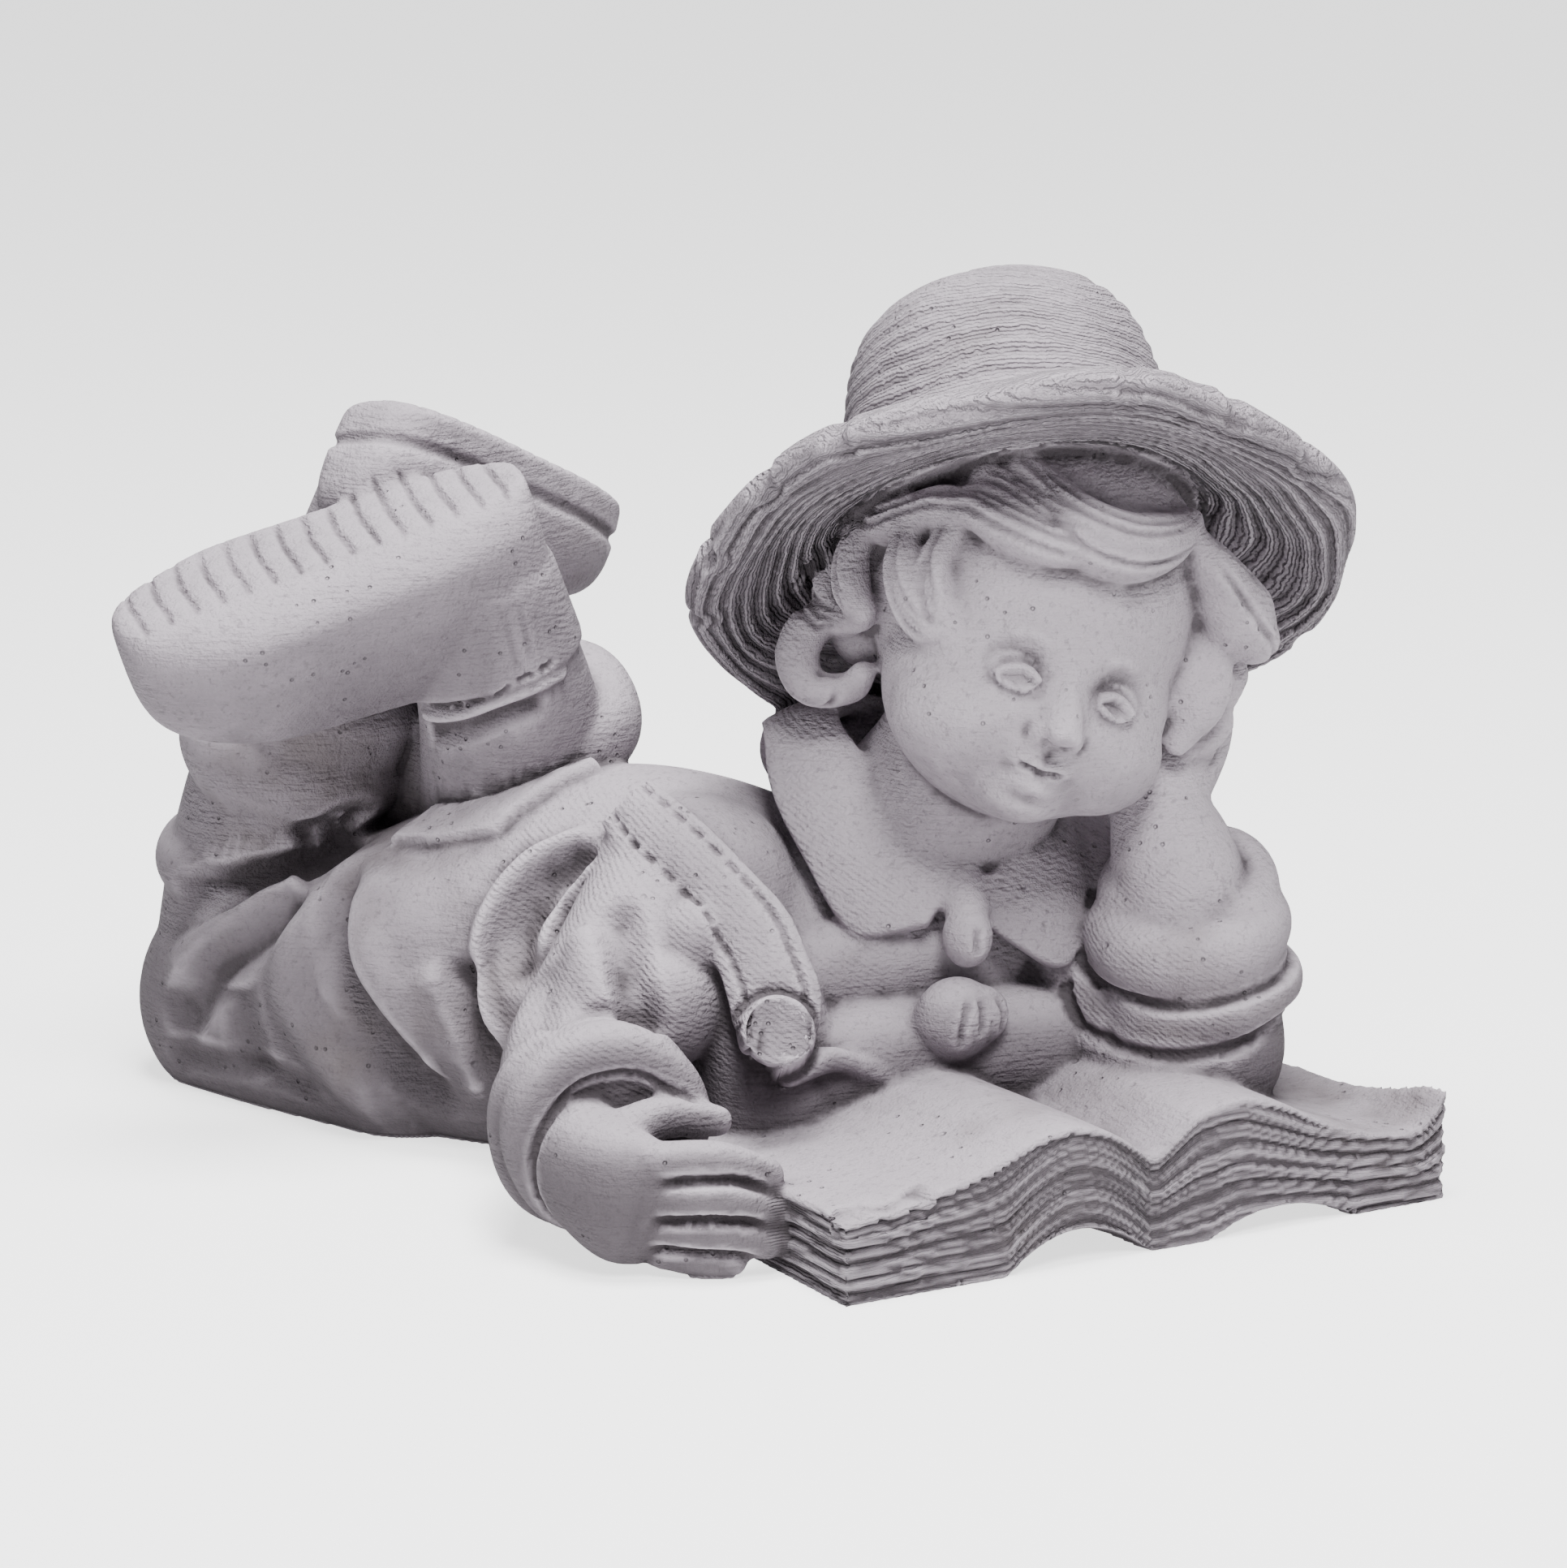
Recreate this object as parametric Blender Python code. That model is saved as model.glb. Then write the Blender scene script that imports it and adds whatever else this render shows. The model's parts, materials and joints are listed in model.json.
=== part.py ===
# A garden figure of a boy who lies on his front and reads an open book, cast in one piece.
# The figure is laid out in thousandths of a metre at STATUE_LENGTH 0.44, at which the casting is
# 0.41 m from the book's front edge to the knees. +Z is up, the book is towards -Y and the knees
# are towards +Y. The origin lies on the flat underside, below the left page of the book.
import math

import bmesh
import bpy
import numpy as np
from mathutils import Vector
from mathutils.bvhtree import BVHTree

STATUE_LENGTH = 0.44
LAYOUT_LENGTH = 440.0
UNIT = STATUE_LENGTH / LAYOUT_LENGTH
SKIN_CELL = 2.3
SKIN_TRIANGLES = 9600
FLAT_BAND = 0.9
NORMAL_ROUNDS = 3


# Curves and frames

def spline(points, share):
    """Points on a smooth curve through the given ones, for shares of its length from 0 to 1."""
    p = np.array(points, float)
    if p.ndim == 1:
        p = p[:, None]
    p = np.vstack([2 * p[0] - p[1], p, 2 * p[-1] - p[-2]])
    u = np.clip(np.asarray(share, float), 0, 1) * (len(p) - 3)
    i = np.minimum(u.astype(int), len(p) - 4)
    t = (u - i)[:, None]
    a, b, c, d = p[i], p[i + 1], p[i + 2], p[i + 3]
    return 0.5 * (2 * b + (c - a) * t + (2 * a - 5 * b + 4 * c - d) * t**2 + (3 * b - a - 3 * c + d) * t**3)


def unit(v):
    v = np.asarray(v, float)
    return v / np.maximum(np.linalg.norm(v, axis=-1, keepdims=True), 1e-9)


def smooth_step(x):
    x = np.clip(x, 0, 1)
    return x * x * (3 - 2 * x)


def power(x, exponent):
    return np.sign(x) * np.abs(x) ** exponent


def vertices_of(mesh):
    co = np.empty(len(mesh.vertices) * 3, np.float32)
    mesh.vertices.foreach_get("co", co)
    return co.reshape(-1, 3).astype(float)


def put_vertices(obj, co):
    obj.data.vertices.foreach_set("co", np.asarray(co, np.float32).ravel())
    obj.data.update()


def stand_on_ground(obj, co):
    """Flattens what would reach below the ground, which leaves a level foot there."""
    co[:, 2] = np.maximum(co[:, 2], 0)
    put_vertices(obj, co)
    return obj


# Forms

def ball(name, centre, radii, across=(1, 0, 0), up=(0, 0, 1)):
    bpy.ops.mesh.primitive_uv_sphere_add(segments=28, ring_count=18)
    obj = bpy.context.object
    obj.name = name
    side = unit(across)
    rise = unit(np.asarray(up, float) - np.dot(up, side) * side)
    axes = np.array([side, np.cross(rise, side), rise])
    co = vertices_of(obj.data) * np.array(radii, float) @ axes + np.array(centre, float)
    return stand_on_ground(obj, co)


def limb(name, centres, radii, up=(0, 0, 1), cap=0.8, square=1.0):
    """A round-ended tube through the centres. A radius is one number, or (sideways, upwards).
    A square under 1 makes its section boxier."""
    rings = 10 + 5 * len(centres)
    bpy.ops.mesh.primitive_uv_sphere_add(segments=28, ring_count=rings)
    obj = bpy.context.object
    obj.name = name
    round_co = vertices_of(obj.data)
    share = np.arccos(np.clip(-round_co[:, 2], -1, 1)) / math.pi
    turn = np.arctan2(round_co[:, 1], round_co[:, 0])
    end = 4.0 / rings
    middle = np.clip((share - end) / (1 - 2 * end), 0, 1)
    into_cap = np.minimum(np.minimum(share, 1 - share) / end, 1) * math.pi / 2
    radius = spline([(r, r) if np.isscalar(r) else r for r in radii], middle)
    place = spline(centres, middle)
    ahead = unit(spline(centres, middle + 0.01) - spline(centres, middle - 0.01))
    side = unit(np.cross(ahead, np.array(up, float)))
    rise = np.cross(side, ahead)
    shrink = np.sin(into_cap)[:, None]
    beyond = np.cos(into_cap) * radius.min(axis=1) * cap * np.where(share < 0.5, -1, 1)
    co = (
        place
        + ahead * beyond[:, None]
        + side * (power(np.cos(turn), square) * radius[:, 0])[:, None] * shrink
        + rise * (power(np.sin(turn), square) * radius[:, 1])[:, None] * shrink
    )
    return stand_on_ground(obj, co)


def ring(name, centre, axis, radius, thickness, squash=1.0, swell=0.0, swell_way=(1, 0, 0)):
    """A roll of cloth. Swell makes it thicker on the side that swell_way points to."""
    bpy.ops.mesh.primitive_torus_add(
        major_segments=40, minor_segments=14, major_radius=radius, minor_radius=thickness
    )
    obj = bpy.context.object
    obj.name = name
    turn = np.array(Vector(axis).to_track_quat("Z", "Y").to_matrix())
    co = vertices_of(obj.data)
    angle = np.arctan2(co[:, 1], co[:, 0])
    middle = np.array([np.cos(angle), np.sin(angle), 0 * angle]).T * radius
    toward = np.array(swell_way, float) @ turn
    size = 1 + swell * np.cos(angle - math.atan2(toward[1], toward[0])) + 0.05 * np.sin(5 * angle + radius)
    co = (middle + (co - middle) * size[:, None]) * (1, 1, squash)
    return stand_on_ground(obj, co @ turn.T + np.array(centre, float))


def sheet(name, rows, thickness, cells=(20, 36)):
    """A slab that follows a loft through rows of points, as a collar does."""
    across, along = cells
    bpy.ops.mesh.primitive_grid_add(x_subdivisions=across, y_subdivisions=along, size=2)
    obj = bpy.context.object
    obj.name = name
    flat = vertices_of(obj.data)
    u, v = (flat[:, 0] + 1) / 2, (flat[:, 1] + 1) / 2
    lines = np.array([spline(row, v) for row in rows])
    p = np.concatenate([2 * lines[:1] - lines[1:2], lines, 2 * lines[-1:] - lines[-2:-1]])
    w = u * (len(rows) - 1)
    i = np.minimum(w.astype(int), len(rows) - 2)
    t = (w - i)[:, None]
    k = np.arange(len(u))
    a, b, c, d = p[i, k], p[i + 1, k], p[i + 2, k], p[i + 3, k]
    co = 0.5 * (2 * b + (c - a) * t + (2 * a - 5 * b + 4 * c - d) * t**2 + (3 * b - a - 3 * c + d) * t**3)
    put_vertices(obj, co)
    wall = obj.modifiers.new("Wall", "SOLIDIFY")
    wall.thickness = thickness
    wall.offset = 0
    return obj


# The open book. Its own measures run across from the left corner, back along the spine, and up.

BOOK_CORNER = np.array((-52.0, -77.0, 0.0))
BOOK_TURN = math.radians(-15)
BOOK_ACROSS = np.array((math.cos(BOOK_TURN), math.sin(BOOK_TURN), 0))
BOOK_BACK = np.array((-math.sin(BOOK_TURN), math.cos(BOOK_TURN), 0))
BOOK_WIDTH = 216.0
BOOK_DEPTH = 140.0
PAGE_TOPS = ((0, 26), (18, 28), (36, 30.5), (52, 35), (66, 41), (80, 43), (92, 39.5), (101, 34), (108, 28),
             (115, 34), (124, 41), (140, 43.5), (154, 39.5), (170, 31), (187, 25), (203, 23), (216, 25))
CURL_HEIGHT = 11.0
ARCHES = ((82, 25, 11.0, 45), (155, 26, 7.0, 45))


def page_top(across, back):
    knots = np.array(PAGE_TOPS, float)
    top = np.interp(across, knots[:, 0], knots[:, 1])
    curl = np.clip((across - 0.93 * BOOK_WIDTH) / (0.07 * BOOK_WIDTH), 0, 1) ** 2
    return top + CURL_HEIGHT * curl * np.exp(-((back / 32.0) ** 2)) - 3.0 * smooth_step(back / BOOK_DEPTH)


def page_floor(across, back):
    floor = np.zeros_like(across)
    for middle, reach, height, depth in ARCHES:
        bend = np.clip(1 - ((across - middle) / reach) ** 2, 0, 1)
        floor += height * bend * np.clip(1 - back / depth, 0, 1)
    return floor


def book():
    bpy.ops.mesh.primitive_cube_add(size=2)
    obj = bpy.context.object
    obj.name = "book form"
    bpy.ops.object.mode_set(mode="EDIT")
    bpy.ops.mesh.subdivide(number_cuts=47)
    bpy.ops.object.mode_set(mode="OBJECT")
    box = vertices_of(obj.data)
    across = (box[:, 0] + 1) / 2 * BOOK_WIDTH
    back = (box[:, 1] + 1) / 2 * BOOK_DEPTH
    rise = (box[:, 2] + 1) / 2
    low, high = page_floor(across, back), page_top(across, back)
    z = low + (high - low) * rise
    co = BOOK_CORNER + across[:, None] * BOOK_ACROSS + back[:, None] * BOOK_BACK
    co[:, 2] = z
    put_vertices(obj, co)


# The body

def torso():
    limb(
        "torso form",
        [(66, 38, 38), (54, 62, 44), (33, 100, 49), (15, 142, 46), (6, 178, 40)],
        [(52, 46), (62, 64), (58, 70), (56, 60), (54, 50)],
        cap=0.7,
    )
    ball("right shoulder form", (22, 62, 82), (36, 36, 36))
    ball("left shoulder form", (122, 34, 78), (36, 38, 36))
    ball("right side form", (-6, 92, 46), (26, 34, 40))
    limb("right chest form", [(24, 72, 94), (19, 54, 82), (15, 36, 70), (11, 21, 54), (9, 14, 30)],
         [22, 22, 22, 21, 21], up=(1, 0, 0))
    limb("breast form", [(12, 16, 36), (40, 4, 40), (70, -6, 40), (96, -20, 40)], [20, 20, 20, 20])
    limb("upper breast form", [(32, 26, 62), (62, 12, 68), (92, 2, 62)], [18, 18, 18])
    ball("strap filling form", (-3, 34, 80), (15, 14, 15))
    ball("right seat form", (0, 148, 50), (46, 48, 49))
    ball("left seat form", (46, 162, 54), (42, 42, 46))


def legs():
    limb("right thigh form", [(-2, 160, 38), (-6, 198, 34), (-9, 238, 30)], [(44, 50), (42, 45), (38, 42)],
         square=0.85)
    ball("right knee form", (-9, 240, 26), (38, 37, 40))
    limb("left thigh form", [(50, 165, 38), (55, 202, 36), (58, 236, 30)], [(42, 48), (39, 44), (36, 38)])
    limb("right calf form", [(-8, 238, 40), (-9, 228, 74), (-8, 218, 104), (-6, 203, 136)],
         [34, 34, 33, 32], up=(1, 0, 0), cap=0.3)
    ring("right trouser lower roll form", (-6, 231, 72), (0.05, -0.15, 1), 26, 14, 0.9)
    ring("right trouser upper roll form", (-8, 217, 112), (0.05, -0.3, 1), 24, 15, 1.0)
    limb("right ankle form", [(-6, 206, 130), (0, 196, 166), (6, 186, 200)], [27, 24, 21], up=(1, 0, 0))
    limb("left calf form", [(57, 236, 40), (52, 214, 72), (42, 184, 98), (33, 152, 122)],
         [34, 37, 33, 30], up=(1, 0, 0), cap=0.3)
    ring("left trouser roll form", (34, 146, 128), (-0.35, -0.3, 0.9), 22, 12, 1.1)
    limb("left ankle form", [(32, 156, 100), (20, 144, 130), (4, 135, 160)], [30, 29, 26], up=(1, 0, 0))


def shoe(name, heel, toe_way, sole_up, length, stations, sag, lean):
    """A shoe seen from its sole. Stations are (share of length, half width, depth below the sole).
    The near edge of the sole rounds down by the sag. The heel slopes back by the lean, a share of height."""
    bpy.ops.mesh.primitive_uv_sphere_add(segments=40, ring_count=44)
    obj = bpy.context.object
    obj.name = name
    round_co = vertices_of(obj.data)
    share = np.arccos(np.clip(-round_co[:, 2], -1, 1)) / math.pi
    turn = np.arctan2(round_co[:, 1], round_co[:, 0])
    along = 0.5 - 0.5 * power(np.cos(share * math.pi), 0.8)
    knots = np.array(stations, float)
    half = spline(knots[:, 1], along)[:, 0] * np.sin(share * math.pi) ** 0.55
    depth = spline(knots[:, 2], along)[:, 0] * np.sin(share * math.pi) ** 0.35
    toe_way, sole_up = unit(toe_way), unit(sole_up)
    side = np.cross(sole_up, toe_way)
    wide = power(np.cos(turn), 0.6)
    rise = np.sin(turn)
    high = np.where(rise > 0, SOLE_EDGE * power(rise, 0.4), power(rise, 0.75) * depth)
    high -= SOLE_EDGE + sag * np.clip((wide - 0.25) / 0.75, 0, 1) ** 2 * (np.sin(turn) > -0.2)
    ahead = along * length + lean * high * (1 - along)
    co = np.array(heel, float) + ahead[:, None] * toe_way + (wide * half)[:, None] * side
    co = co + high[:, None] * sole_up
    return stand_on_ground(obj, co)


SOLE_EDGE = 5.0
LEFT_HEEL = (4, 119, 215)
LEFT_TOE_WAY = (-0.814, 0.492, -0.313)
LEFT_SOLE_UP = (-0.398, -0.078, 0.913)
LEFT_SHOE_LENGTH = 137.0
RIGHT_HEEL = (-5, 178.5, 232)
RIGHT_TOE_WAY = (0.889, 0.027, -0.437)
RIGHT_SOLE_UP = (0.424, 0.172, 0.888)
RIGHT_SHOE_LENGTH = 108.0
LEFT_SAG = 9.0
RIGHT_LEAN = 0.3


def shoes():
    shoe("left shoe form", LEFT_HEEL, LEFT_TOE_WAY, LEFT_SOLE_UP, LEFT_SHOE_LENGTH,
         [(0, 25, 56), (0.25, 27, 56), (0.5, 28, 52), (0.75, 31, 49), (1, 29, 44)], LEFT_SAG, 0.0)
    limb("left shoe neck form", [(-8, 134, 182), (2, 137, 154)], [(24, 29), (26, 33)], up=LEFT_TOE_WAY,
         cap=0.1, square=0.9)
    shoe("right shoe form", RIGHT_HEEL, RIGHT_TOE_WAY, RIGHT_SOLE_UP, RIGHT_SHOE_LENGTH,
         [(0, 25, 44), (0.25, 25, 44), (0.5, 25, 40), (0.75, 27, 37), (1, 27, 34)], 0.0, RIGHT_LEAN)


FINGER_GAPS = (
    [(-74, -18, 31), (-66, -27, 31), (-56, -35, 31), (-44, -40, 25)],
    [(-76, -18, 20), (-68, -28, 20), (-58, -37, 20), (-46, -43, 15)],
    [(-74, -16, 11), (-68, -25, 11), (-59, -35, 10), (-50, -40, 7)],
)
# Creases round the cuffs: centre, axis, radius, half width, depth
CUFF_CREASES = (
    ((120, -60.5, 70.5), (-0.24, -0.04, 0.97), 33, 4.0, 2.6),
    ((121, -63, 53), (-0.2, -0.02, 0.98), 31, 4.0, 2.6),
    ((-63, 8, 35.5), (-0.45, -0.88, 0.08), 22, 4.0, 1.6),
)


def arms():
    limb("right sleeve form", [(8, 60, 80), (-16, 52, 66), (-39, 46, 48), (-53, 33, 38), (-62, 20, 36)],
         [28, 26, 25, 26, 27], up=(0.6, 0.2, 0.8), cap=0.3)
    ball("right sleeve bulge form", (-20, 36, 62), (22, 20, 20))
    ring("right cuff form", (-62, 13, 36), (-0.45, -0.88, 0.08), 25, 7.5, 1.0, 0.2, (0, 0, 1))
    ring("right cuff back form", (-57, 23, 37), (-0.42, -0.9, 0.05), 26, 8)
    limb("right hand form", [(-68, 20, 32), (-73, 8, 29), (-74, -6, 24), (-70, -15, 21)],
         [(16, 17), (17, 19), (15, 21), (11, 19)], up=(0, 0, 1), cap=0.6)
    fingers = {
        "right thumb form": ([(-66, 0, 40), (-52, -2, 42), (-36, -9, 39)], [7.5, 6.5, 4.8]),
        "right first finger form": ([(-70, -18, 34), (-58, -30, 35), (-42, -36, 29)], [7.5, 6.8, 5.4]),
        "right middle finger form": ([(-72, -18, 24), (-60, -33, 25), (-43, -39, 18)], [6.8, 6.2, 5]),
        "right ring finger form": ([(-72, -16, 15), (-60, -32, 14), (-46, -40, 10)], [6.4, 5.8, 5]),
        "right little finger form": ([(-68, -17, 8), (-60, -28, 5), (-54, -34, 5)], [6, 5, 4.5]),
    }
    for name, (centres, radii) in fingers.items():
        limb(name, centres, radii)
    limb("left sleeve form", [(128, 20, 80), (126, -26, 58), (118, -58, 42), (118, -60, 60)],
         [(36, 38), 34, 31, 27], up=(1, 0, 0.2), cap=0.3)
    ring("left lower cuff form", (121, -62, 62), (-0.22, -0.02, 0.97), 23, 8.5, 1.05, 0.12, (-0.7, -0.7, 0))
    ring("left upper cuff form", (119, -59, 79), (-0.26, -0.06, 0.96), 23, 9.5, 1.15, 0.15, (-1, 0, 0))
    ring("left cuff rim form", (123, -55, 90), (-0.32, -0.2, 0.93), 22, 6.5, 1.2, 0.25, (0.7, 0.7, 0))
    limb("left forearm form",
         [(117, -55, 66), (117, -52, 88), (116, -48, 102), (118, -43, 114), (127, -40, 124)],
         [17, 15.5, 14, 13, 14], up=(-0.7, 0.7, 0), cap=0.7)
    limb("left palm form",
         [(119, -41, 112), (131, -40, 126), (139, -37, 139), (142, -31, 151), (141, -27, 160)],
         [(13, 13), (15, 14), (16, 14), (13, 12), (9, 9)], up=(-0.7, -0.7, 0.2), cap=0.8)


# The head. Its own axes: across to the boy's left, back, and up.

HEAD_CENTRE = np.array((90.0, -17.0, 170.0))
HEAD_TILT = math.radians(20)
HEAD_LEVEL = np.array((0.866, -0.5, 0.0))
HEAD_ACROSS = HEAD_LEVEL * math.cos(HEAD_TILT) - np.array((0, 0, 1)) * math.sin(HEAD_TILT)
HEAD_UP = HEAD_LEVEL * math.sin(HEAD_TILT) + np.array((0, 0, 1)) * math.cos(HEAD_TILT)
HEAD_BACK = np.cross(HEAD_UP, HEAD_ACROSS)


def on_head(x, y, z):
    return HEAD_CENTRE + x * HEAD_ACROSS + y * HEAD_BACK + z * HEAD_UP


def head_ball(name, centre, radii):
    return ball(name, on_head(*centre), (radii[0], radii[1], radii[2]), HEAD_ACROSS, HEAD_UP)


# Locks of hair: a path on the head, with (half width, half thickness) along it
LOCKS = (
    ([(-34, -14, 50), (-25, -25, 46), (-18, -35, 41), (-9, -42, 38), (4, -43, 38), (18, -35, 43),
      (30, -20, 50)], [(6, 4), (8, 7), (10, 8), (11, 10), (11, 10), (9, 8), (5, 4)]),
    ([(-46, -14, 28), (-39, -24, 34), (-31, -34, 33), (-19, -43, 32), (-6, -46, 33)],
     [(5, 4), (7, 7), (8, 7), (7, 7), (4, 3)]),
    ([(-38, -17, 42), (-31, -26, 42), (-22, -37, 39), (-12, -44, 36)], [(5, 4), (6, 6), (6, 6), (4, 4)]),
    ([(-38, -23, 33), (-45, -17, 31), (-51, -9, 25), (-55, 0, 19), (-56, 13, 18)],
     [(5, 4), (7, 7), (7, 7), (7, 7), (4, 4)]),
    ([(-50, -10, 20), (-52, -15, 11), (-49, -20, 2), (-43, -27, -4), (-37, -33, -3)],
     [(5, 5), (6, 6), (6, 6), (6, 5), (3, 3)]),
    ([(-42, -20, 24), (-45, -23, 13), (-42, -27, 5), (-37, -32, 0)], [(5, 5), (6, 5), (5, 5), (3, 3)]),
    ([(-57, 8, 16), (-60, 8, 6), (-58, 4, -4), (-53, -1, -9)], [(5, 5), (6, 6), (6, 6), (4, 4)]),
    ([(-57, 28, 6), (-58, 27, -6), (-54, 19, -14), (-52, 2, -11)], [(5, 5), (6, 6), (6, 6), (4, 4)]),
    ([(-52, 24, -12), (-60, 24, -20), (-61, 24, -30), (-55, 20, -38), (-45, 14, -34), (-44, 8, -27)],
     [(6, 6), (7, 7), (7, 8), (6, 8), (5, 6), (4, 4)]),
    ([(31, -24, 45), (40, -22, 39), (49, -18, 32), (57, -18, 26), (64, -19, 21)],
     [(5, 6), (8, 9), (11, 11), (12, 11), (8, 8)]),
    ([(48, -14, 18), (53, -16, 8), (54, -18, -1), (52, -18, -9), (50, -20, -17)],
     [(6, 6), (8, 8), (8, 8), (7, 7), (4, 4)]),
    ([(57, -6, 12), (60, -8, 2), (59, -10, -8), (56, -13, -14)], [(5, 5), (6, 6), (6, 6), (4, 4)]),
)


def head():
    limb("neck form", [(84, 30, 92), (88, 8, 122), (90, -6, 146)], [36, 32, 32], up=(1, 0, 0))
    head_ball("skull form", (0, 6, 8), (49, 52, 54))
    head_ball("face form", (0, -12, -15), (45, 40, 40))
    for side in (-1, 1):
        head_ball("cheek form", (side * 21, -25, -25), (23, 22, 21))
    head_ball("chin form", (0, -32, -41), (17, 15, 12))
    limb("nose form", [on_head(0, -43, 3), on_head(0, -50, -10), on_head(0, -55.5, -19)], [4, 5, 6.2])
    head_ball("hair form", (0, 14, 14), (54, 54, 54))
    head_ball("fringe form", (-2, -4, 38), (42, 36, 26))
    head_ball("nape hair form", (-42, 26, -9), (13, 17, 19))
    head_ball("temple hair form", (48, -2, 2), (12, 22, 24))
    for path, sizes in LOCKS:
        limb("lock form", [on_head(*p) for p in path], [(b, a) for a, b in sizes], up=HEAD_UP, cap=0.8)


# The straw hat, round its own axis

HAT_CENTRE = np.array((94.0, -11.0, 194.0))
HAT_AXIS = unit((0.332, 0.480, 0.819))
HAT_FRONT = unit(np.array((-0.6, -0.75, 0.0)) - np.dot((-0.6, -0.75, 0.0), HAT_AXIS) * HAT_AXIS)
HAT_PROFILE = ((0, 87), (14, 87), (28, 85), (38, 80), (45, 71), (49, 58), (51.5, 43), (54, 32), (58, 24),
               (68, 18), (82, 12), (94, 6), (101, 1), (104, -5), (101, -10), (92, -9), (80, -2), (66, 5),
               (56, 10), (46, 12), (24, 12), (0, 12))


def brim_wave(turn):
    """How far the brim's rim bends up or down round the hat."""
    lift = 4.0 * np.exp(-(((turn + 1.4) / 0.6) ** 2))
    return 10.0 * np.cos(turn) + 2.0 * np.cos(2 * turn + 0.6) + 1.5 * np.sin(5 * turn) + lift


def hat():
    bpy.ops.mesh.primitive_uv_sphere_add(segments=96, ring_count=84)
    obj = bpy.context.object
    obj.name = "hat form"
    round_co = vertices_of(obj.data)
    share = np.arccos(np.clip(round_co[:, 2], -1, 1)) / math.pi
    turn = np.arctan2(round_co[:, 1], round_co[:, 0])
    radius, height = spline(HAT_PROFILE, share).T
    brim = np.clip((radius - 56) / 46, 0, 1)
    height += brim * brim_wave(turn)
    radius = np.maximum(radius, 0) * (1 + 0.012 * np.sin(3 * turn + 1) + brim * 0.012 * np.sin(7 * turn))
    left = np.cross(HAT_AXIS, HAT_FRONT)
    co = (
        HAT_CENTRE
        + (radius * np.cos(turn))[:, None] * HAT_FRONT
        + (radius * np.sin(turn))[:, None] * left
        + height[:, None] * HAT_AXIS
    )
    put_vertices(obj, co)


# A collar wing: its edge at the neck, and its free edge, from the nape to the front
RIGHT_COLLAR_NECK = [(98, 46, 136), (76, 46, 141), (62, 37, 138), (61, 21, 126), (63, 8, 115), (67, -3, 103),
                     (71, -10, 96)]
RIGHT_COLLAR_FREE = [(86, 84, 122), (66, 73, 127), (48, 56, 134), (39, 44, 119), (36, 28, 102), (40, 10, 80),
                     (55, -8, 82)]
LEFT_COLLAR_NECK = [(98, 46, 136), (116, 38, 134), (122, 20, 124), (116, 2, 112), (100, -12, 102),
                    (86, -15, 98),
                    (72, -12, 95)]
LEFT_COLLAR_FREE = [(86, 84, 122), (122, 70, 118), (142, 38, 108), (136, 2, 96), (108, -26, 84),
                    (90, -32, 67),
                    (72, -18, 80)]
COLLAR_THICKNESS = 7.0


def collar():
    limb("collar nape form", [(70, 62, 124), (94, 60, 124), (118, 50, 116)], [(16, 14), (18, 16), (16, 14)])
    wings = (("right", RIGHT_COLLAR_NECK, RIGHT_COLLAR_FREE), ("left", LEFT_COLLAR_NECK, LEFT_COLLAR_FREE))
    for side, neck, free in wings:
        middle = (np.array(neck) + np.array(free)) / 2 + np.array((0, 0, 3.0))
        sheet(f"{side} collar form", [neck, middle, free], COLLAR_THICKNESS)


STRAP_OUTER = [(2, 80, 108), (-3, 66, 101), (-4, 46, 92), (-6, 33, 84), (-8, 20, 75), (-11, 12, 66),
               (-13, 5, 52)]
STRAP_INNER = [(14, 72, 121), (11, 46, 113), (11, 24, 101), (12, 10, 91), (11, 2, 81), (9, -7, 68),
               (2, -10, 52)]
STRAP_THICKNESS = 8.0
BUTTON_PLACE = (-9, -6, 60)
BUTTON_WAY = (-0.55, -0.72, 0.42)
BUTTON_SIZE = (10.5, 10.5, 6.5)


def strap():
    middle = (np.array(STRAP_OUTER) + np.array(STRAP_INNER)) / 2 + np.array((-1.5, -1.5, 1.0))
    sheet("strap form", [STRAP_OUTER, middle, STRAP_INNER], STRAP_THICKNESS)
    ball("button form", BUTTON_PLACE, BUTTON_SIZE, (0.72, -0.55, 0), BUTTON_WAY)
    limb("bib edge form", [(-2, -4, 47), (14, -8, 48), (27, -12, 42), (38, -15, 37)], [8, 6, 4.5, 4])


def scarf():
    ball("scarf knot form", (61, -19, 80), (8, 8, 10))
    limb("scarf top form", [(70, -8, 94), (64, -16, 87)], [7, 7])
    ball("scarf tail form", (56, -19, 55), (14, 12, 13))
    ball("scarf tail side form", (63, -24, 56), (8, 8, 9))


# Joining the forms into one skin

def join_forms(cell):
    forms = [o for o in bpy.context.scene.objects if o.type == "MESH"]
    bpy.ops.object.select_all(action="DESELECT")
    for form in forms:
        form.select_set(True)
    bpy.context.view_layer.objects.active = forms[0]
    bpy.ops.object.convert(target="MESH")
    bpy.ops.object.join()
    skin = bpy.context.object
    skin.name = "reading_boy"
    remesh = skin.modifiers.new("Skin", "REMESH")
    remesh.mode = "VOXEL"
    remesh.voxel_size = cell
    bpy.ops.object.modifier_apply(modifier=remesh.name)
    return skin


def faces_of(mesh):
    faces = np.empty(len(mesh.polygons) * 4, np.int32)
    mesh.polygons.foreach_get("vertices", faces)
    return faces.reshape(-1, 4)


def edges_of(faces):
    return np.vstack([faces[:, [0, 1]], faces[:, [1, 2]], faces[:, [2, 3]], faces[:, [3, 0]]])


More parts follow.
